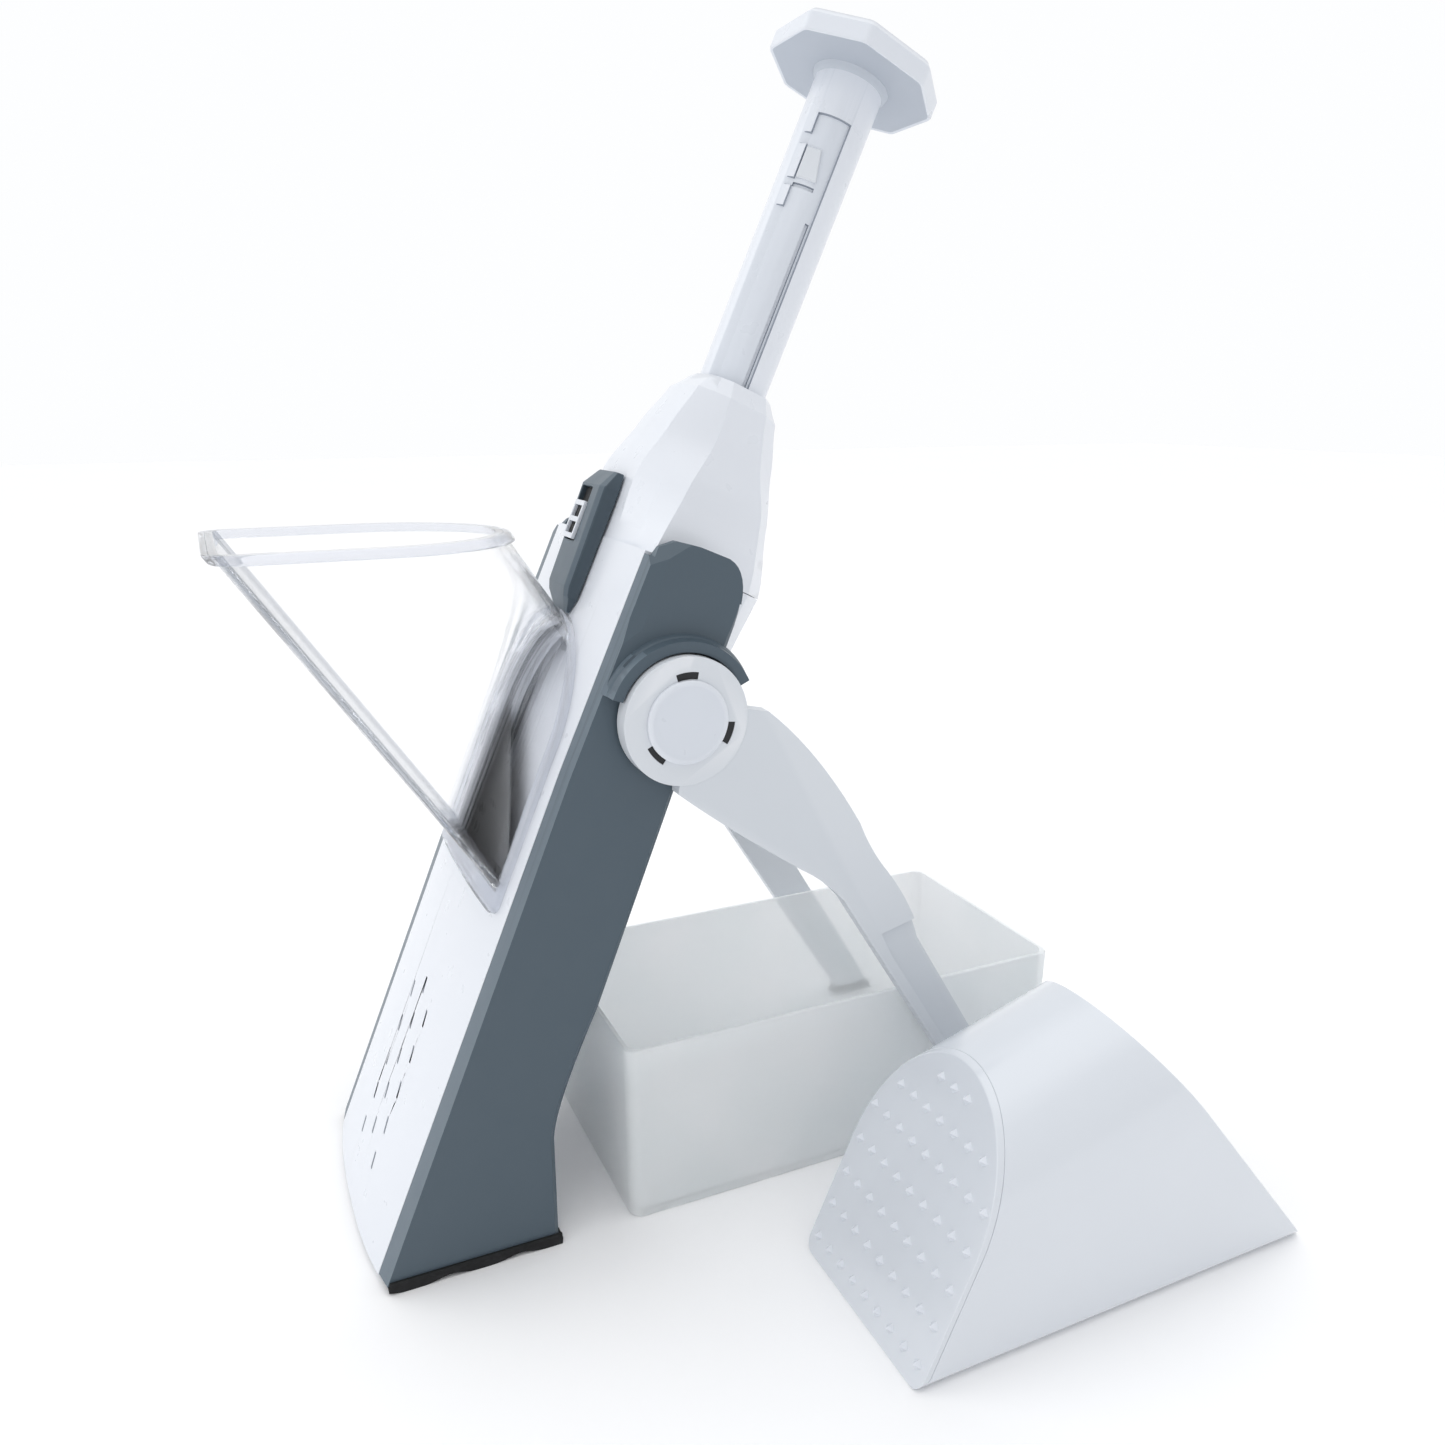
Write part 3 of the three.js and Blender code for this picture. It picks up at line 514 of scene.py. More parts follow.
def neck_ring(u, half, inset=0):
    right = [(x + dx * inset, n + dn * WALL * inset, u) for (x, n), (dx, dn) in zip(half, NECK_INSET)]
    return right + [(-x, n, u) for x, n, _ in reversed(right) if x > 0]


def vent_strokes(shrink, near, deep):
    """Short slanted grooves in three staggered columns, or the dark sheets of painted shade that lie in
    their floors.
    """
    strokes = []
    slant, rows = 0.7, 5
    places = [(0, 28.7 + 14.3 * i) for i in range(rows)]
    places += [(x, 21.8 + 14.2 * i) for x in (-12, 12) for i in range(rows)]
    for x, u in places:
        n = panel_depth(x, u)
        wide, tall = 0.85 - shrink, 3.0 - shrink
        corners = [(slant - wide, -tall), (slant + wide, -tall), (wide - slant, tall), (-slant - wide, tall)]
        outline = rounded(corners, 0.45, 2)
        strokes.append(along("y", [(x + a, u + b) for a, b in outline], n + near, n + deep))
    return strokes


def front_housing():
    levels = (-12, PANEL_STRAIGHT, 262)
    panel = loft([across(PANEL_HALF, u) + across(PANEL_HALF, u, WALL)[::-1] for u in levels])
    hollow = loft([neck_ring(256, NECK[0][1], 1)] + neck_levels(262, 322, 1, 10))
    bore = rod("z", 0, AXIS_N, TUBE_RADIUS + 0.5, 252, 340, 64)
    window = along("y", arch(34, 137, 190, 228), -30, 30)
    lining = along("y", arch(36.8, 134.5, 190, 230.6), -3.5, -0.1)
    piece(
        "housing_shell", [panel], BODY, WHITE, "frame", ["front_housing"],
        add=[loft(neck_levels(262, 328)), lining],
        cut=[hollow, bore, table_slab(HEM_HEIGHT), window] + vent_strokes(0, -1, 0.6),
        bevel=0.6, limit=16, segments=3, smooth=40)
    # Dark grey sheets just inside the vent grooves: painted shade where the slots look dark.
    piece("vent_shade_floors", vent_strokes(0.03, 0.14, 0.58), BODY, VENT_SHADE, "frame")


# ---- side covers with their wrapped front strip, facets and hub collar ----
def cover_outline():
    front = [(edge_depth(u), u) for u in (-12, PANEL_STRAIGHT, 258)]
    foot_back = 59.6

    def over(y, z):
        return (y * math.cos(LEAN) - z * math.sin(LEAN), y * math.sin(LEAN) + z * math.cos(LEAN))
    rear = [over(foot_back, -12), over(foot_back, 42)]
    rear += bend(over(foot_back, 42), (33.2, 74), (34.2, 112), 10)
    rear += [(30.6, 191), (28.9, 246)]
    rear += bend((28.9, 246), (28.9, 268), (17.8, 269.5), 10)
    return rear + [(7, 269.3), (0, 268.2), (-4.5, 264.5)] + front[::-1]


def banded(outline):
    """The cover's outer face, pulled in along its rear edge to leave a narrow slanting band."""
    band, rear_from, fade_top, fade = 1.7, 12, 270, 24
    pulled = []
    for n, u in outline:
        share = min(1.0, max(0.0, (fade_top - u) / fade)) if n > rear_from else 0.0
        pulled.append((n - band * share, u))
    return pulled


def strip_ring(u, inner):
    middle = (inner + HALF_WIDTH) / 2
    return [(inner, panel_depth(inner, u), u), (middle, panel_depth(middle, u), u),
            (HALF_WIDTH, edge_depth(u), u), (HALF_WIDTH, edge_depth(u) + 9, u),
            (COVER_INSIDE, edge_depth(u) + 9, u), (COVER_INSIDE, edge_depth(u) + 4.5, u),
            (inner, panel_depth(inner, u) + 3, u)]


def side_cover(side, place, dial=False):
    inner = PANEL_HALF + 0.25
    outline = cover_outline()
    strip = loft([strip_ring(u, inner) for u in (-12, PANEL_STRAIGHT, 261)])
    top = along("x", [(n, u) for n, u in outline if u > 256], inner + 0.4, HALF_WIDTH - 0.5)
    inside, outside, start, end = HUB_RADIUS + 0.7, HUB_RADIUS + 4.8, 49, 183
    collar_steps = ((54, outside + 1.4), (56.4, outside + 0.5), (57.2, outside), (60.6, outside - 0.6))
    collar = loft([[(x, *p) for p in arc(PIVOT_N, PIVOT_U, outer, start, end, 40)
                    + arc(PIVOT_N, PIVOT_U, inside, end, start, 40)]
                   for x, outer in collar_steps])
    far = 61
    edge_cut = hull([
        (HALF_WIDTH, -6.5, 231.4), (HALF_WIDTH, -1.7, 238.4), (HALF_WIDTH, -1.7, 275), (53.0, -7.6, 241),
        (53.0, -7.6, 275), (far, -6.5, 231.4), (far, -1.7, 238.4), (far, -1.7, 275), (far, -7.6, 241),
        (far, -7.6, 275)])
    top_cut = beyond((HALF_WIDTH, -1.5, 262.5), (HALF_WIDTH, 3.7, 268.9), (47.15, -8.5, 262), 30)
    faces = ((COVER_INSIDE, outline), (HALF_WIDTH - 1.5, outline), (HALF_WIDTH, banded(outline)))
    wall = loft([[(x, n, u) for n, u in points] for x, points in faces])
    cuts = [edge_cut, top_cut, table_slab(FOOT_HEIGHT), rod("x", PIVOT_N, PIVOT_U, 7.4, 40, 70)]
    if dial:
        cuts.append(rod("x", 16, 257.5, 3.1, 40, 70, 24))
    return piece(f"{side}_cover_shell", [wall], place, SLATE, "frame", [f"side_cover_{side}"],
                 add=[strip, top, collar], cut=cuts, bevel=0.5, limit=11, segments=3)


def paint_strip(cover):
    """Faces that look forward, more than 0.8 towards the front, get a lighter copy of the slate: painted
    light where the strip and its bevels face the key light.
    """
    forward = (BODY.to_3x3() @ Vector((0, -1, 0))).normalized()
    paint(cover, LIT_SLATE, lambda face: face.normal.dot(forward) > 0.8)


def foot_pad(side, place):
    """A rubber pad with a wavy underside and a lip that laps over the cover's foot."""
    waves = []
    length, steps, lumps, phase = 60.0, 48, 2.5, 0.9
    for i in range(steps + 1):
        y = 0.4 + length * i / steps
        lump = 0.5 - 0.5 * math.cos(2 * math.pi * lumps * i / steps + phase)
        waves.append((y, 0.05 + 1.5 * (1 - lump) ** 2))
    outline = waves + [(60.6, 2.7), (0.4, 2.7)]
    lip = along("x", [(0.6, 2), (60.4, 2), (60.4, 4.3), (0.9, 4.5)], 55.06, 55.95)
    piece(f"{side}_foot_rubber", [along("x", outline, 50.6, 56.0)], place, RUBBER, "frame",
          [f"foot_pad_{side}"], add=[lip], bevel=0.35, limit=40, segments=2)


# ---- selector on the upper front ----
SLOT = {"x0": -8.2, "x1": 2.4, "u0": 256.8, "u1": 276.6}


def selector():
    def ring(u, half, front, nose):
        return [(-half - 0.9, -9.9, u), (-half, front + nose, u), (-half + 2.2, front, u),
                (half - 2.2, front, u), (half, front + nose, u), (half + 0.9, -9.9, u)]
    blank = loft([ring(232.5, 7.5, -11, 0.3), ring(238, 10.8, -14.4, 1.2), ring(241, 11.2, -15.4, 1.4),
                  ring(277.6, 11.4, -16.4, 1.4), ring(284, 10, -12.6, 0.6)])
    slot = block(SLOT["x0"], SLOT["x1"], -20, -14.2, SLOT["u0"], SLOT["u1"])
    housing = piece("selector_block", [blank], BODY, LIT_SLATE, "frame", ["selector_housing"],
                    cut=[slot], bevel=0.55, limit=14, segments=3)
    sideways = Vector((1, 0, 0))
    # The block's forward faces are in the lighter slate copy, painted light; its sideways faces keep the
    # plain slate.
    paint(housing, SLATE, lambda face: abs(face.normal.dot(sideways)) > 0.6)
    gap = 0.05
    floor = block(SLOT["x0"] + gap, SLOT["x1"] - gap, -14.5, -14.21, SLOT["u0"] + gap, SLOT["u1"] - gap)
    piece("selector_slot_floor", [floor], BODY, BLACK, "frame")


def selector_slider():
    """A small white ladder with two dark steps, each with a raised dot."""
    x0, x1 = SLOT["x0"] + 0.3, SLOT["x1"] - 0.3
    low, pitch, bar, rail = 257.2, 6.0, 1.9, 1.2
    high = low + 2 * pitch + bar
    front, face = -17.0, -15.6
    bars = [block(x0, x1, front, face, low + i * pitch, low + i * pitch + bar) for i in range(3)]
    left_rail = block(x0, x0 + rail, front, face, low, high)
    right_rail = block(x1 - rail, x1, front, face, low, high)
    piece("slider_ladder", [right_rail], BODY, WHITE, "selector", add=bars + [left_rail],
          bevel=0.25, segments=2)
    plate = block(x0 + 0.1, x1 - 0.1, -15.7, -14.6, low + 0.1, high - 0.1)
    dot = turned([(1.5, 0), (1.3, 0.5), (0.5, 0.8)], 20)
    turn = Matrix.Rotation(math.radians(90), 4, "X")
    middle = (x0 + x1) / 2
    dots = [carried(dot, Matrix.Translation((middle, face, low + bar + 2.05 + i * pitch)) @ turn)
            for i in range(2)]
    piece("slider_plate", [plate] + dots, BODY, BLACK, "selector", ["selector_slider"],
          bevel=0.15, segments=2)


# ---- plunger ----
def tube():
    """The tube's wall follows a height map round it: a recessed track with a latch pocket and a key slot."""
    track = {"right": -3, "left": 55, "top": 424, "bottom": 322}
    key = {"low": 1, "high": 8, "bottom": 324, "top": 388}
    crisp = [(417, 424), (401, 413), (391, 398.4)]
    slit = {"low": 16, "bottom": 398.4, "top": 399.6}
    fade = 17

    def depth(angle, u):
        if not (track["right"] <= angle <= track["left"] + fade and track["bottom"] <= u <= track["top"]):
            return 0.0
        inside = 0.95
        if key["low"] <= angle <= key["high"] and key["bottom"] <= u <= key["top"]:
            inside = 1.8
        if slit["low"] <= angle <= track["left"] and slit["bottom"] <= u <= slit["top"]:
            inside = 1.75
        if angle <= track["left"]:
            return inside
        stepped = any(low <= u <= high for low, high in crisp)
        return 0.0 if stepped else inside * max(0.0, 1 - (angle - track["left"]) / fade)

    step_angles = (track["right"], key["low"], key["high"], slit["low"], track["left"])
    step_levels = (322, 324, 388, 391, 398.4, 399.6, 401, 413, 417, 424)
    angles = sorted(set(
        [float(a) for a in range(-180, 180, 5)] + [60, 64, 68, 72]
        + [a + d for a in step_angles for d in (-0.2, 0.2)]))
    levels = sorted(set(
        [318.0, 441.0] + [float(u) for u in range(325, 441, 5)]
        + [u + d for u in step_levels for d in (-0.15, 0.15)]))
    rings = []
    for u in levels:
        ring = []
        for angle in angles:
            radius = TUBE_RADIUS - depth(angle, u)
            turn = math.radians(angle)
            ring.append((radius * math.cos(turn), AXIS_N - radius * math.sin(turn), u))
        rings.append(ring)
    sleeve = piece("plunger_sleeve", [loft(rings)], BODY, WHITE, "plunger", ["plunger_tube"],
                   cut=[rod("z", 0, AXIS_N, 10, 310, 438, 48)], smooth=25)
    to_local = BODY.inverted()

    def is_step(face):
        """Whether a face is the steep side of a groove."""
        spot = to_local @ face.center
        around = Vector((spot.x, spot.y - AXIS_N, 0))
        facing = (to_local.to_3x3() @ face.normal).normalized().dot(around.normalized())
        return abs(facing) < 0.72 and 321 < spot.z < 425 and around.length > TUBE_RADIUS - 2.2
    # The steep groove sides get a darker grey: painted shade in the recesses.
    paint(sleeve, GROOVE_SHADE, is_step)


def catch():
    """The latch button in the tube's track."""
    rings = []
    for height, shrink in ((0, 0), (0.7, 0), (1.0, 0.5)):
        radius = TUBE_RADIUS - 0.75 + height
        ring = []
        for corner_angle, corner_u in ((17, 401.4), (52, 401.4), (52, 412.4), (27, 412.4)):
            angle = corner_angle + (shrink * 3 if corner_angle < 30 else -shrink * 3)
            u = corner_u + (shrink if corner_u < 405 else -shrink)
            turn = math.radians(angle)
            ring.append((radius * math.cos(turn), AXIS_N - radius * math.sin(turn), u))
        rings.append(ring)
    piece("latch_button", [loft(rings)], BODY, SATIN, "plunger", ["plunger_catch"], bevel=0.3,
          segments=2)


def octagon(span, corner, grow=0.0):
    h, c = span / 2 + grow, span / 2 - corner + grow * 0.4
    return [(h, -c), (h, c), (c, h), (-c, h), (-h, c), (-h, -c), (-c, -h), (c, -h)]


def knob():
    """An octagonal palm knob with a dished top and a flat underside painted darker, as painted shade."""
    levels = [(441.6, -1.2), (441.3, -0.35), (441.9, 0), (447.4, 0), (449.5, -1.6), (450.6, -4.2),
              (450.85, -8), (450.5, -14)]
    rings = [[(x, n + AXIS_N, u) for x, n in rounded(octagon(57, 16, grow), 1.6, 4)] for u, grow in levels]
    palm = piece("palm_knob", [loft(rings)], BODY, WHITE, "plunger", ["plunger_knob"], smooth=35)
    down = (BODY.to_3x3() @ Vector((0, 0, -1))).normalized()
    # The downward faces get the darker white: painted shade under the knob.
    paint(palm, SHADE, lambda face: face.normal.dot(down) > 0.97)
    collar = turned([(TUBE_RADIUS + 1.6, 441.7), (TUBE_RADIUS + 1.1, 440.4), (TUBE_RADIUS + 0.1, 439.4),
                     (TUBE_RADIUS - 1, 439.4), (TUBE_RADIUS - 1, 441.7)], 64, (0, AXIS_N))
    # The collar under the knob is in the same darker white: painted shade.
    piece("knob_collar", [collar], BODY, SHADE, "plunger", smooth=40)


# ---- feed chute ----
FLOOR_LOW = (49.3, 128.6)
FEED_ANGLE = math.atan2(RIM_HEIGHT - FLOOR_LOW[1], FLOOR_LOW[0] - RIM_FRONT)
FEED = Matrix.Translation((0, *FLOOR_LOW)) @ Matrix.Rotation(math.pi / 2 - FEED_ANGLE, 4, "X")


def feed_solid(inset, low, high):
    outline = arch(CHUTE_HALF - inset, inset, CHUTE_STRAIGHT, CHUTE_STRAIGHT + CHUTE_HALF - inset,
                   max(6 - inset, 1), 48)
    return carried(along("z", outline, low, high), FEED)


def to_table(part):
    return carried(part, Matrix.Rotation(-LEAN, 4, "X"))


def feed_chute():
    levels = (-20, PANEL_STRAIGHT, 300)
    behind = to_table(loft([across(52, u, -0.3, 24) + [(90, 150, u), (-90, 150, u)] for u in levels]))
    skin = to_table(loft([across(52, u, -2.6, 24) + across(52, u, -0.3, 24)[::-1] for u in levels]))
    above = block(-100, 100, -200, 200, RIM_HEIGHT, RIM_HEIGHT + 300)
    chute = piece("chute_tube", [feed_solid(0, -80, 170)], TABLE, CLEAR, "chute", ["feed_chute"],
                  cut=[above, feed_solid(CHUTE_WALL, -90, 200), behind], bevel=0.3, segments=2, limit=40)
    to_feed = (TABLE @ FEED).inverted()
    corner = 3.2

    def is_corner(face):
        """Whether a face is in one of the two lower corners."""
        spot = to_feed @ face.center
        return abs(spot.x) > CHUTE_HALF - corner and spot.y < corner
    # The lower corners get the darker clear: painted shade standing in for the dark edge lines there.
    paint(chute, CLEAR_CORNER_SHADE, is_corner)
    return skin


def chute_rim():
    """The bead round the chute's mouth."""
    band = block(-100, 100, -200, 200, RIM_HEIGHT - 3.2, RIM_HEIGHT)
    mouth = feed_solid(0.05, -90, 200)
    ring = carved(feed_solid(-2, -80, 170), [("INTERSECT", band), ("DIFFERENCE", mouth)])
    piece("chute_rim", [ring], TABLE, CLEAR_RIM, "chute", bevel=0.9, segments=4, limit=50)


def chute_flange(skin):
    """A thin flange that lies on the front panel round the window."""
    slab = to_table(along("y", arch(41, 131, 190, 233.4, 4, 48), -40, 40))
    flange = carved(skin, [("INTERSECT", slab), ("DIFFERENCE", feed_solid(-0.08, -90, 200))])
    piece("chute_flange", [flange], TABLE, CLEAR_RIM, "chute", bevel=0.5, segments=3, limit=50)


# ---- folding leg ----
def leg_outline():
    points = [(17.5, -17.2)]
    points += bend((17.5, -17.2), (40, -12), (73, -1), 10)
    points += bend((73, -1), (84, 3.5), (96, 4), 8)
    points += [(226, -6.5), (236, 8), (134, 18)]
    points += bend((134, 18), (120, 23.5), (100, 23.5), 8)
    points += bend((100, 23.5), (88, 23), (76, 26), 8)
    points += bend((76, 26), (42, 29.5), (17.4, 23.6), 10)
    return points + [(4, 12), (0, 0)]


def hub_arcs(outer, inner, spread, low, high):
    """Three arc-shaped solids round the hub's cap."""
    middles, a, b = (145, 32.5, 274), 0.4, 0.6
    return [along("x", arc(a, b, outer, mid - spread, mid + spread, 12)
                  + arc(a, b, inner, mid + spread, mid - spread, 12), low, high) for mid in middles]


def leg_arm(side, place):
    hub = rod("x", 0, 0, HUB_RADIUS, HUB_INNER, HUB_OUTER, 72)
    plan = [(119, 7.5), (129, 5.6), (226, -2.6), (262, 2), (250, 30), (130, 34)]
    shallow, deep = HUB_OUTER - 1.3, HUB_INNER + 1.9
    levels = [shallow, shallow, shallow, shallow, deep, deep]
    channel = loft([[(x, *p) for x, p in zip(levels, plan)], [(80, *p) for p in plan]])
    slots = hub_arcs(16.3, 13.9, 14, HUB_OUTER - 1.6, 70)
    arm = along("x", leg_outline(), HUB_INNER + 0.7, HUB_OUTER - 0.3)
    piece(f"{side}_leg_arm", [arm], place, SATIN, "legs", [f"leg_arm_{side}"], add=[hub],
          cut=[channel, rod("x", 0, 0, 8, 40, 80)] + slots, bevel=0.7, limit=30, segments=3)
    inlays = hub_arcs(16.2, 14.0, 13.7, HUB_OUTER - 1.5, HUB_OUTER - 0.15)
    piece(f"{side}_hub_slots", inlays, place, BLACK, "legs")


def leg_cap(side, place):
    """A shallow dished cap over the pivot."""
    profile = [(13.9, 0), (13.9, 1.1), (13.3, 1.6), (12.4, 1.75), (11.6, 1.45), (9, 1.3), (1, 1.3)]
    turn = Matrix.Translation((HUB_OUTER + 0.05, 0, 0)) @ Matrix.Rotation(math.radians(90), 4, "Y")
    piece(f"{side}_pivot_cap", [carried(turned(profile, 64), turn)], place, WHITE, "legs",
          [f"leg_cap_{side}"], smooth=40)


def leg_details():
    plate = along("x", rounded([(34, 21.5), (76, 20.5), (76, 24), (34, 25)], 1.2, 3), -56.6, 56.6)
    ribs = [along("x", [(40, 20.6), (70, 20.2), (70, 21.4), (40, 21.9)], x - 0.8, x + 0.8)
            for x in range(-42, 43, 14)]
    piece("leg_bridge", [plate], LEG, SATIN, "legs", ["leg_cross_plate"], add=ribs, bevel=0.3,
          segments=2)


# ---- catch tray ----
TRAY_X, TRAY_Y = (-38.5, 56.5), (86, 271)
TRAY_HEIGHT, TRAY_FLARE, TRAY_WALL = 69.5, 1, 1.8


def tray_ring(grow, z, corner=4.5):
    """The tray's outline at a height, with small round corners."""
    grow += TRAY_FLARE * (min(z, TRAY_HEIGHT) / TRAY_HEIGHT - 1)
    x0, x1, y0, y1 = TRAY_X[0] - grow, TRAY_X[1] + grow, TRAY_Y[0] - grow, TRAY_Y[1] + grow
    centres = [(x1 - corner, y0 + corner), (x1 - corner, y1 - corner), (x0 + corner, y1 - corner),
               (x0 + corner, y0 + corner)]
    quarters = [arc(*centre, corner, 90 * i - 90, 90 * i, 8) for i, centre in enumerate(centres)]
    return [(x, y, z) for quarter in quarters for x, y in quarter]


def catch_tray():
    top = TRAY_HEIGHT
    outer = loft([tray_ring(-1.1, 0.05), tray_ring(-0.35, 0.35), tray_ring(0, 1.1), tray_ring(0, top - 5),
                  tray_ring(0, top - 0.7), tray_ring(-0.5, top - 0.05)])
    inner = loft([tray_ring(-TRAY_WALL - 1.5, TRAY_WALL), tray_ring(-TRAY_WALL - 0.4, TRAY_WALL + 0.6),
                  tray_ring(-TRAY_WALL, TRAY_WALL + 1.8), tray_ring(-TRAY_WALL, top + 1)])
    piece("tray_shell", [outer], TABLE, FROSTED, "tray", ["catch_tray"], cut=[inner], smooth=50)


# ---- food pusher ----
PUSH_X, PUSH_HALF, PUSH_ARCH = 127.8, 35.2, 38
PUSH_FRONT, PUSH_BACK = 138, 302.1
FACE_LEAN, END_LEAN = math.radians(24), math.radians(40)


def push_top(y):
    """The rounded top climbs towards the open end."""
    return 84 + 0.3 * (y - 175.4)


def pusher_solid(inset):
    rings = []
    for y in (PUSH_FRONT - 60, PUSH_BACK + 60):
        top = push_top(y) - inset
        outline = arch(PUSH_HALF - inset, inset, top + inset - PUSH_ARCH, top, max(5 - inset, 1), 56)
        rings.append([(PUSH_X + x, y, z) for x, z in outline])
    return loft(rings)


def leaning_slab(y, lean, before):
    high, reach = 200, (-400 if before else 400)
    top = y + high * math.tan(lean)
    foot = y - math.tan(lean)
    return along("x", [(foot, -1), (top, high), (top + reach, high), (foot + reach, -1)], 0, 300)


def pusher():
    face_depth = 2.5
    piece("pusher_body", [pusher_solid(0)], TABLE, GLOSS, "pusher", ["pusher_shell"],
          cut=[pusher_solid(2.2), leaning_slab(PUSH_FRONT + face_depth + 0.05, FACE_LEAN, True),
               leaning_slab(PUSH_BACK, -END_LEAN, False)],
          bevel=0.2, segments=2, limit=40)
    piece("pusher_plate", [pusher_solid(0)], TABLE, GLOSS, "pusher", ["pusher_face"],
          cut=[leaning_slab(PUSH_FRONT, FACE_LEAN, True),
               leaning_slab(PUSH_FRONT + face_depth, FACE_LEAN, False)],
          bevel=0.4, segments=3, limit=40)
    rows = [(up, 9, 30.5) for up in (7.4, 20.4, 32.8, 45.8, 59)] + [(71.2, 7, 22.5), (82.9, 3, 7)]
    teeth = []
    for up, count, reach in rows:
        for i in range(count):
            x = PUSH_X + (2 * i / (count - 1) - 1) * reach
            base = [(1.95, 0.4), (1.95, 0.0), (0.4, -1.75), (0.1, -1.85)]
            cone = turned([(r, -h) for r, h in base], 4)
            place = (Matrix.Translation((x, PUSH_FRONT + up * math.sin(FACE_LEAN), up * math.cos(FACE_LEAN)))
                     @ Matrix.Rotation(math.radians(90) - FACE_LEAN, 4, "X"))
            teeth.append(carried(cone, place))
    piece("pusher_teeth", teeth, TABLE, WHITE, "pusher", bevel=0.12, segments=2, smooth=30)


# ---- inner works ----
def thickness_plate():
    """A grey slide plate with shallow running rails on its face."""
    ribs = [block(x - 0.8, x + 0.8, 2.75, 3.4, 141, 218) for x in (-26, -17, 17, 26)]
    back = [block(x - 1, x + 1, 4, 5.5, 143, 217) for x in (-24, 0, 24)]
    plate = along("y", rounded([(-33.2, 139), (33.2, 139), (33.2, 221), (-33.2, 221)], 3), 3, 4.5)
    tab = block(-24, -14, 3, 4.5, 219, 264.5)
    piece("thickness_slide", [plate], BODY, GREY, "plate", ["thickness_plate"],
          add=ribs + back + [tab], bevel=0.3, segments=2)


def return_spring(side, x):
    """A coiled wire spring at one fixed length; the real one closes up as the plunger goes down."""
    low, high, turns, radius = 69.2, 230.1, 14, 3.3
    curve = bpy.data.curves.new(f"{side}_spring", "CURVE")
    curve.dimensions, curve.bevel_depth, curve.bevel_resolution = "3D", 0.55 * MM, 3
    spline = curve.splines.new("POLY")
    steps = turns * 24
    spline.points.add(steps)
    for i, point in enumerate(spline.points):
        t = i / steps
        turn = 2 * math.pi * turns * t
        local = (x + radius * math.cos(turn), 12 + radius * math.sin(turn), low + (high - low) * t)
        point.co = (*(BODY @ Vector(local)), 1)
    rough = bpy.data.objects.new(f"{side}_spring", curve)
    bpy.context.scene.collection.objects.link(rough)
    bpy.context.view_layer.update()
    mesh = bpy.data.meshes.new_from_object(rough.evaluated_get(bpy.context.evaluated_depsgraph_get()))
    bpy.data.objects.remove(rough)
    bpy.data.curves.remove(curve)
    spring = bpy.data.objects.new(f"{side}_coil", mesh)
    bpy.context.scene.collection.objects.link(spring)
    mesh.shade_smooth()
    mesh.materials.clear()
    mesh.materials.append(WIRE)
    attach(spring, "frame")
    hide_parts(f"return_spring_{side}")
    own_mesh(spring)


def dial():
    """A knurled dial with a pointer, and tick marks round it on the left cover."""
    sides, dial_n, dial_u = 120, 16, 257.5
    ring = []
    for i in range(sides):
        turn = 2 * math.pi * i / sides
        radius = 9.7 + 0.3 * math.cos(20 * turn)
        ring.append((radius * math.cos(turn), radius * math.sin(turn)))

    def level(x, scale):
        return [(x, dial_n + a * scale, dial_u + b * scale) for a, b in ring]
    steps = ((-55.6, 0.97), (-56.2, 1), (-63.4, 1), (-64.3, 0.93), (-64.5, 0.86))
    grip = loft([level(x, scale) for x, scale in steps])
    groove = [(15.3, 258.5), (16.7, 258.5), (16.7, 265), (15.3, 265)]
    pointer = along("x", rounded(groove, 0.5, 2), -65, -63.9)
    shaft = rod("x", dial_n, dial_u, 2.5, -56, -51.3, 24)
    piece("dial_grip", [grip], BODY, SLATE, "dial", ["thickness_dial"], add=[shaft], cut=[pointer],
          bevel=0.15, segments=2, limit=50)
    ticks = []
    near, far, half = 11.3, 12.8, 0.25
    for i in range(9):
        turn = math.radians(90 + 180 * i / 8)
        out, side = Vector((math.cos(turn), math.sin(turn))), Vector((-math.sin(turn), math.cos(turn)))
        ends = [out * r + side * w for r, w in ((near, -half), (far, -half), (far, half), (near, half))]
        spots = [(dial_n + p.x, dial_u + p.y) for p in ends]
        if all(-1 < n < 28 and u < 268.5 for n, u in spots):
            ticks.append(along("x", spots, -55.15, -54.9))
    piece("dial_ticks", ticks, BODY, WHITE, "frame")


def screw(name, node, body, x, n, u, radius):
    """A countersunk cross-head screw that faces the back."""
    profile = [(radius * 0.55, -1.6), (radius, -0.35), (radius, -0.1), (radius * 0.86, 0.0)]
    turn = Matrix.Translation((x, n, u)) @ Matrix.Rotation(math.radians(-90), 4, "X")
    arm, width = radius * 0.55, radius * 0.16
    cross = [carried(block(-a, a, -b, b, -0.9, 1), turn) for a, b in ((arm, width), (width, arm))]
    piece(name, [carried(turned(profile, 40), turn)], BODY, WIRE, body, [node], cut=cross,
          bevel=0.08, segments=2)


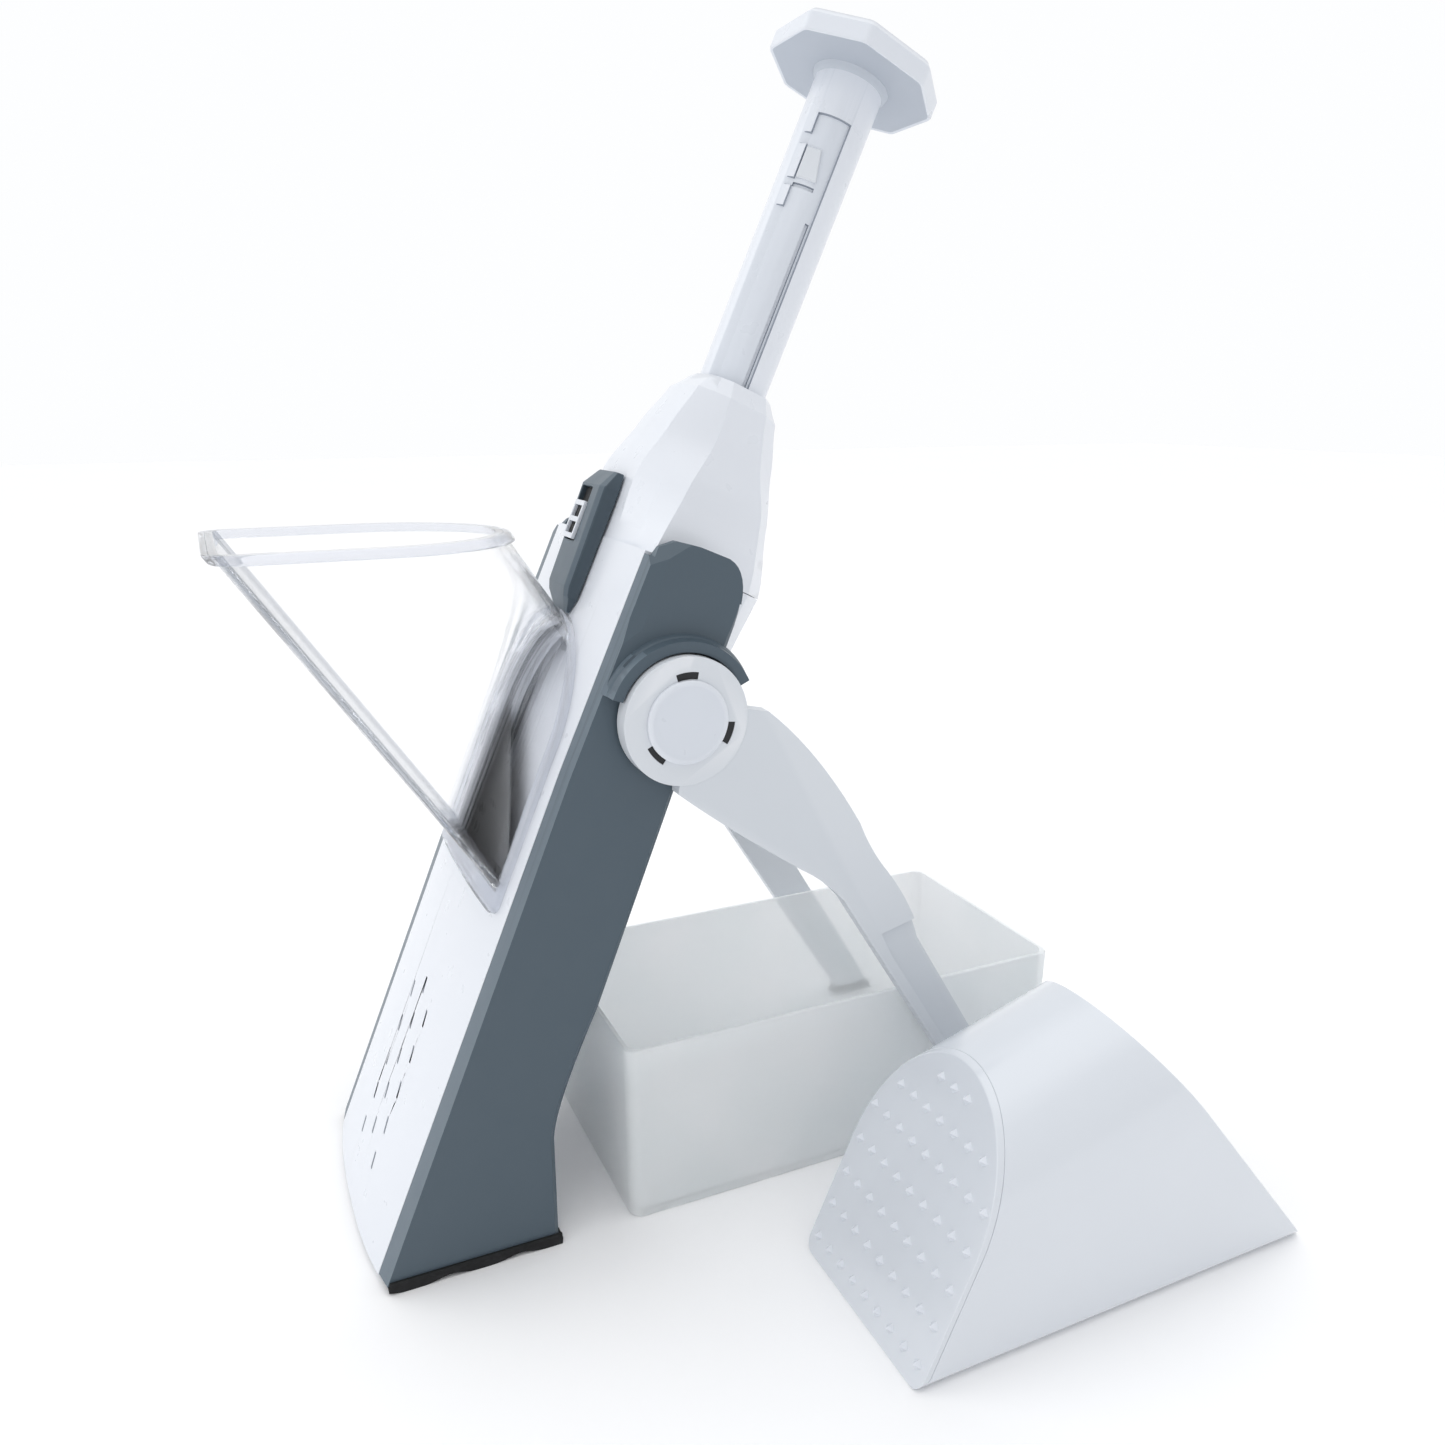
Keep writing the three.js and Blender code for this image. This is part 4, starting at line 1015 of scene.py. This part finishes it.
def rear_cover():
    levels = [
        (66, [(0, 33.5), (26, 33.5), (44, 33), (51.4, 32)]),
        (192, [(0, 32), (26, 32), (44, 31.5), (51.4, 30.2)]),
        (212, [(0, 37), (24, 37), (40, 33), (48.5, 27)]),
        (236, [(0, 47), (22, 47), (36, 36), (46, 24)]),
        (261.7, [(0, 51), (20, 51), (33, 40), (44, 22)]),
    ]

    def ring(u, half):
        right = half[1:]
        outside = [(x, n, u) for x, n in reversed(right)] + [(-x, n, u) for x, n in right]
        return outside + [(x * 0.955, n - WALL, u) for x, n, _ in reversed(outside)]
    outlet = along("y", rounded([(-36, 84), (36, 84), (36, 178), (-36, 178)], 5), 20, 50)
    places = [(-40, 76), (40, 76), (-43, 196), (43, 196)]
    holes = [rod("y", x, u, 3.4, 20, 50, 24) for x, u in places]
    piece("rear_shell", [loft([ring(u, half) for u, half in levels])], BODY, WHITE, "frame",
          ["rear_cover"], cut=[outlet] + holes, bevel=0.7, limit=10, segments=3)
    for i, (x, u) in enumerate(places):
        screw(f"rear_screw_head_{i + 1}", f"rear_screw_{i + 1}", "frame", x, 32.2, u, 3.1)


def dress_nodes():
    """Materials for the CAD pieces that are shown as they are."""
    finishes = {
        "upper_bracket": GREY, "lower_bracket": GREY, "guide_rod_right": STEEL, "guide_rod_left": STEEL,
        "plate_guide_right": GREY, "plate_guide_left": GREY, "outlet_ramp": WHITE, "pivot_pin_right": GREY,
        "pivot_pin_left": GREY, "plunger_stem": GREY, "blade_carriage": GREY, "slicing_blade": STEEL,
        "julienne_comb": STEEL, "thickness_cam": GREY, "leg_foot_right": RUBBER, "leg_foot_left": RUBBER,
        "blade_screw_right": WIRE, "blade_screw_left": WIRE,
    }
    for node, material in finishes.items():
        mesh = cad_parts[node].data
        mesh.materials.clear()
        mesh.materials.append(material)


# ---- stage ----
def stage():
    mesh = bpy.data.meshes.new("floor")
    reach = 6.0
    corners = [(-reach, -reach, 0), (reach, -reach, 0), (reach, reach, 0), (-reach, reach, 0)]
    mesh.from_pydata(corners, [], [(0, 1, 2, 3)])
    floor = bpy.data.objects.new("floor", mesh)
    bpy.context.scene.collection.objects.link(floor)
    paper = Finish("pale_floor")
    paper.link(paper.tint(paper.noise(3), srgb(254, 254, 255), srgb(252, 252, 253)), "Base Color")
    paper.set(Roughness=0.9, Specular_IOR_Level=0.1)
    mesh.materials.append(paper.material)


def area_light(name, place, target, size, power):
    data = bpy.data.lights.new(name, "AREA")
    data.shape, data.size, data.size_y, data.energy = "RECTANGLE", size[0], size[1], power
    light = bpy.data.objects.new(name, data)
    light.location = place
    light.rotation_euler = (Vector(target) - Vector(place)).to_track_quat("-Z", "Y").to_euler()
    bpy.context.scene.collection.objects.link(light)


def lighting():
    """A bright studio tent, dimmer towards the back right, with soft boxes and an overhead light."""
    world = bpy.data.worlds.new("studio")
    world.use_nodes = True
    nodes, links = world.node_tree.nodes, world.node_tree.links
    direction = nodes.new("ShaderNodeTexCoord").outputs["Generated"]
    dot = nodes.new("ShaderNodeVectorMath")
    dot.operation = "DOT_PRODUCT"
    dot.inputs[1].default_value = Vector((0.93, 0.3, -0.2)).normalized()
    links.new(direction, dot.inputs[0])
    fade = nodes.new("ShaderNodeMapRange")
    fade.interpolation_type = "SMOOTHSTEP"
    for socket, value in (("From Min", -0.25), ("From Max", 0.75), ("To Min", 1.0), ("To Max", 0.68)):
        fade.inputs[socket].default_value = value
    links.new(dot.outputs["Value"], fade.inputs["Value"])
    background = nodes["Background"]
    background.inputs["Color"].default_value = (0.985, 0.992, 1.0, 1)
    links.new(fade.outputs["Result"], background.inputs["Strength"])
    bpy.context.scene.world = world
    centre = (0, 0, 0.18)
    area_light("key", (-0.9, -1.1, 1.3), centre, (1.2, 1.2), 2.6)
    area_light("top", (0.1, 0.4, 1.9), centre, (1.4, 1.4), 2.2)
    soft = bpy.data.lights.new("overhead", "SUN")
    soft.energy, soft.angle = 0.36, math.radians(70)
    overhead = bpy.data.objects.new("overhead", soft)
    bpy.context.scene.collection.objects.link(overhead)
    area_light("edge_card", (1.2, -0.9, 1.2), centre, (0.35, 1.1), 0.8)


def camera():
    data = bpy.data.cameras.new("view")
    data.sensor_width, data.lens, data.sensor_fit = 36, 28.33, "HORIZONTAL"
    data.clip_start = 0.01
    view = bpy.data.objects.new("view", data)
    view.location = ORIGIN + Vector((387.1, -28.9, 288)) * MM
    view.rotation_euler = (math.radians(90 - 15.8), 0, math.radians(65.4))
    bpy.context.scene.collection.objects.link(view)
    bpy.context.scene.camera = view


# ---- the whole object ----
front_housing()
for cover in (side_cover("right", BODY), side_cover("left", BODY @ MIRROR, dial=True)):
    paint_strip(cover)
for side_name, flip in (("right", Matrix.Identity(4)), ("left", MIRROR)):
    foot_pad(side_name, TABLE @ flip)
    leg_arm(side_name, LEG @ flip)
    leg_cap(side_name, LEG @ flip)
rear_cover()
selector()
selector_slider()
tube()
catch()
knob()
flange_skin = feed_chute()
chute_rim()
chute_flange(flange_skin)
leg_details()
catch_tray()
pusher()
thickness_plate()
return_spring("right", 45)
return_spring("left", -45)
dial()
dress_nodes()
stage()
lighting()
camera()
bpy.context.scene.view_settings.view_transform = "Standard"
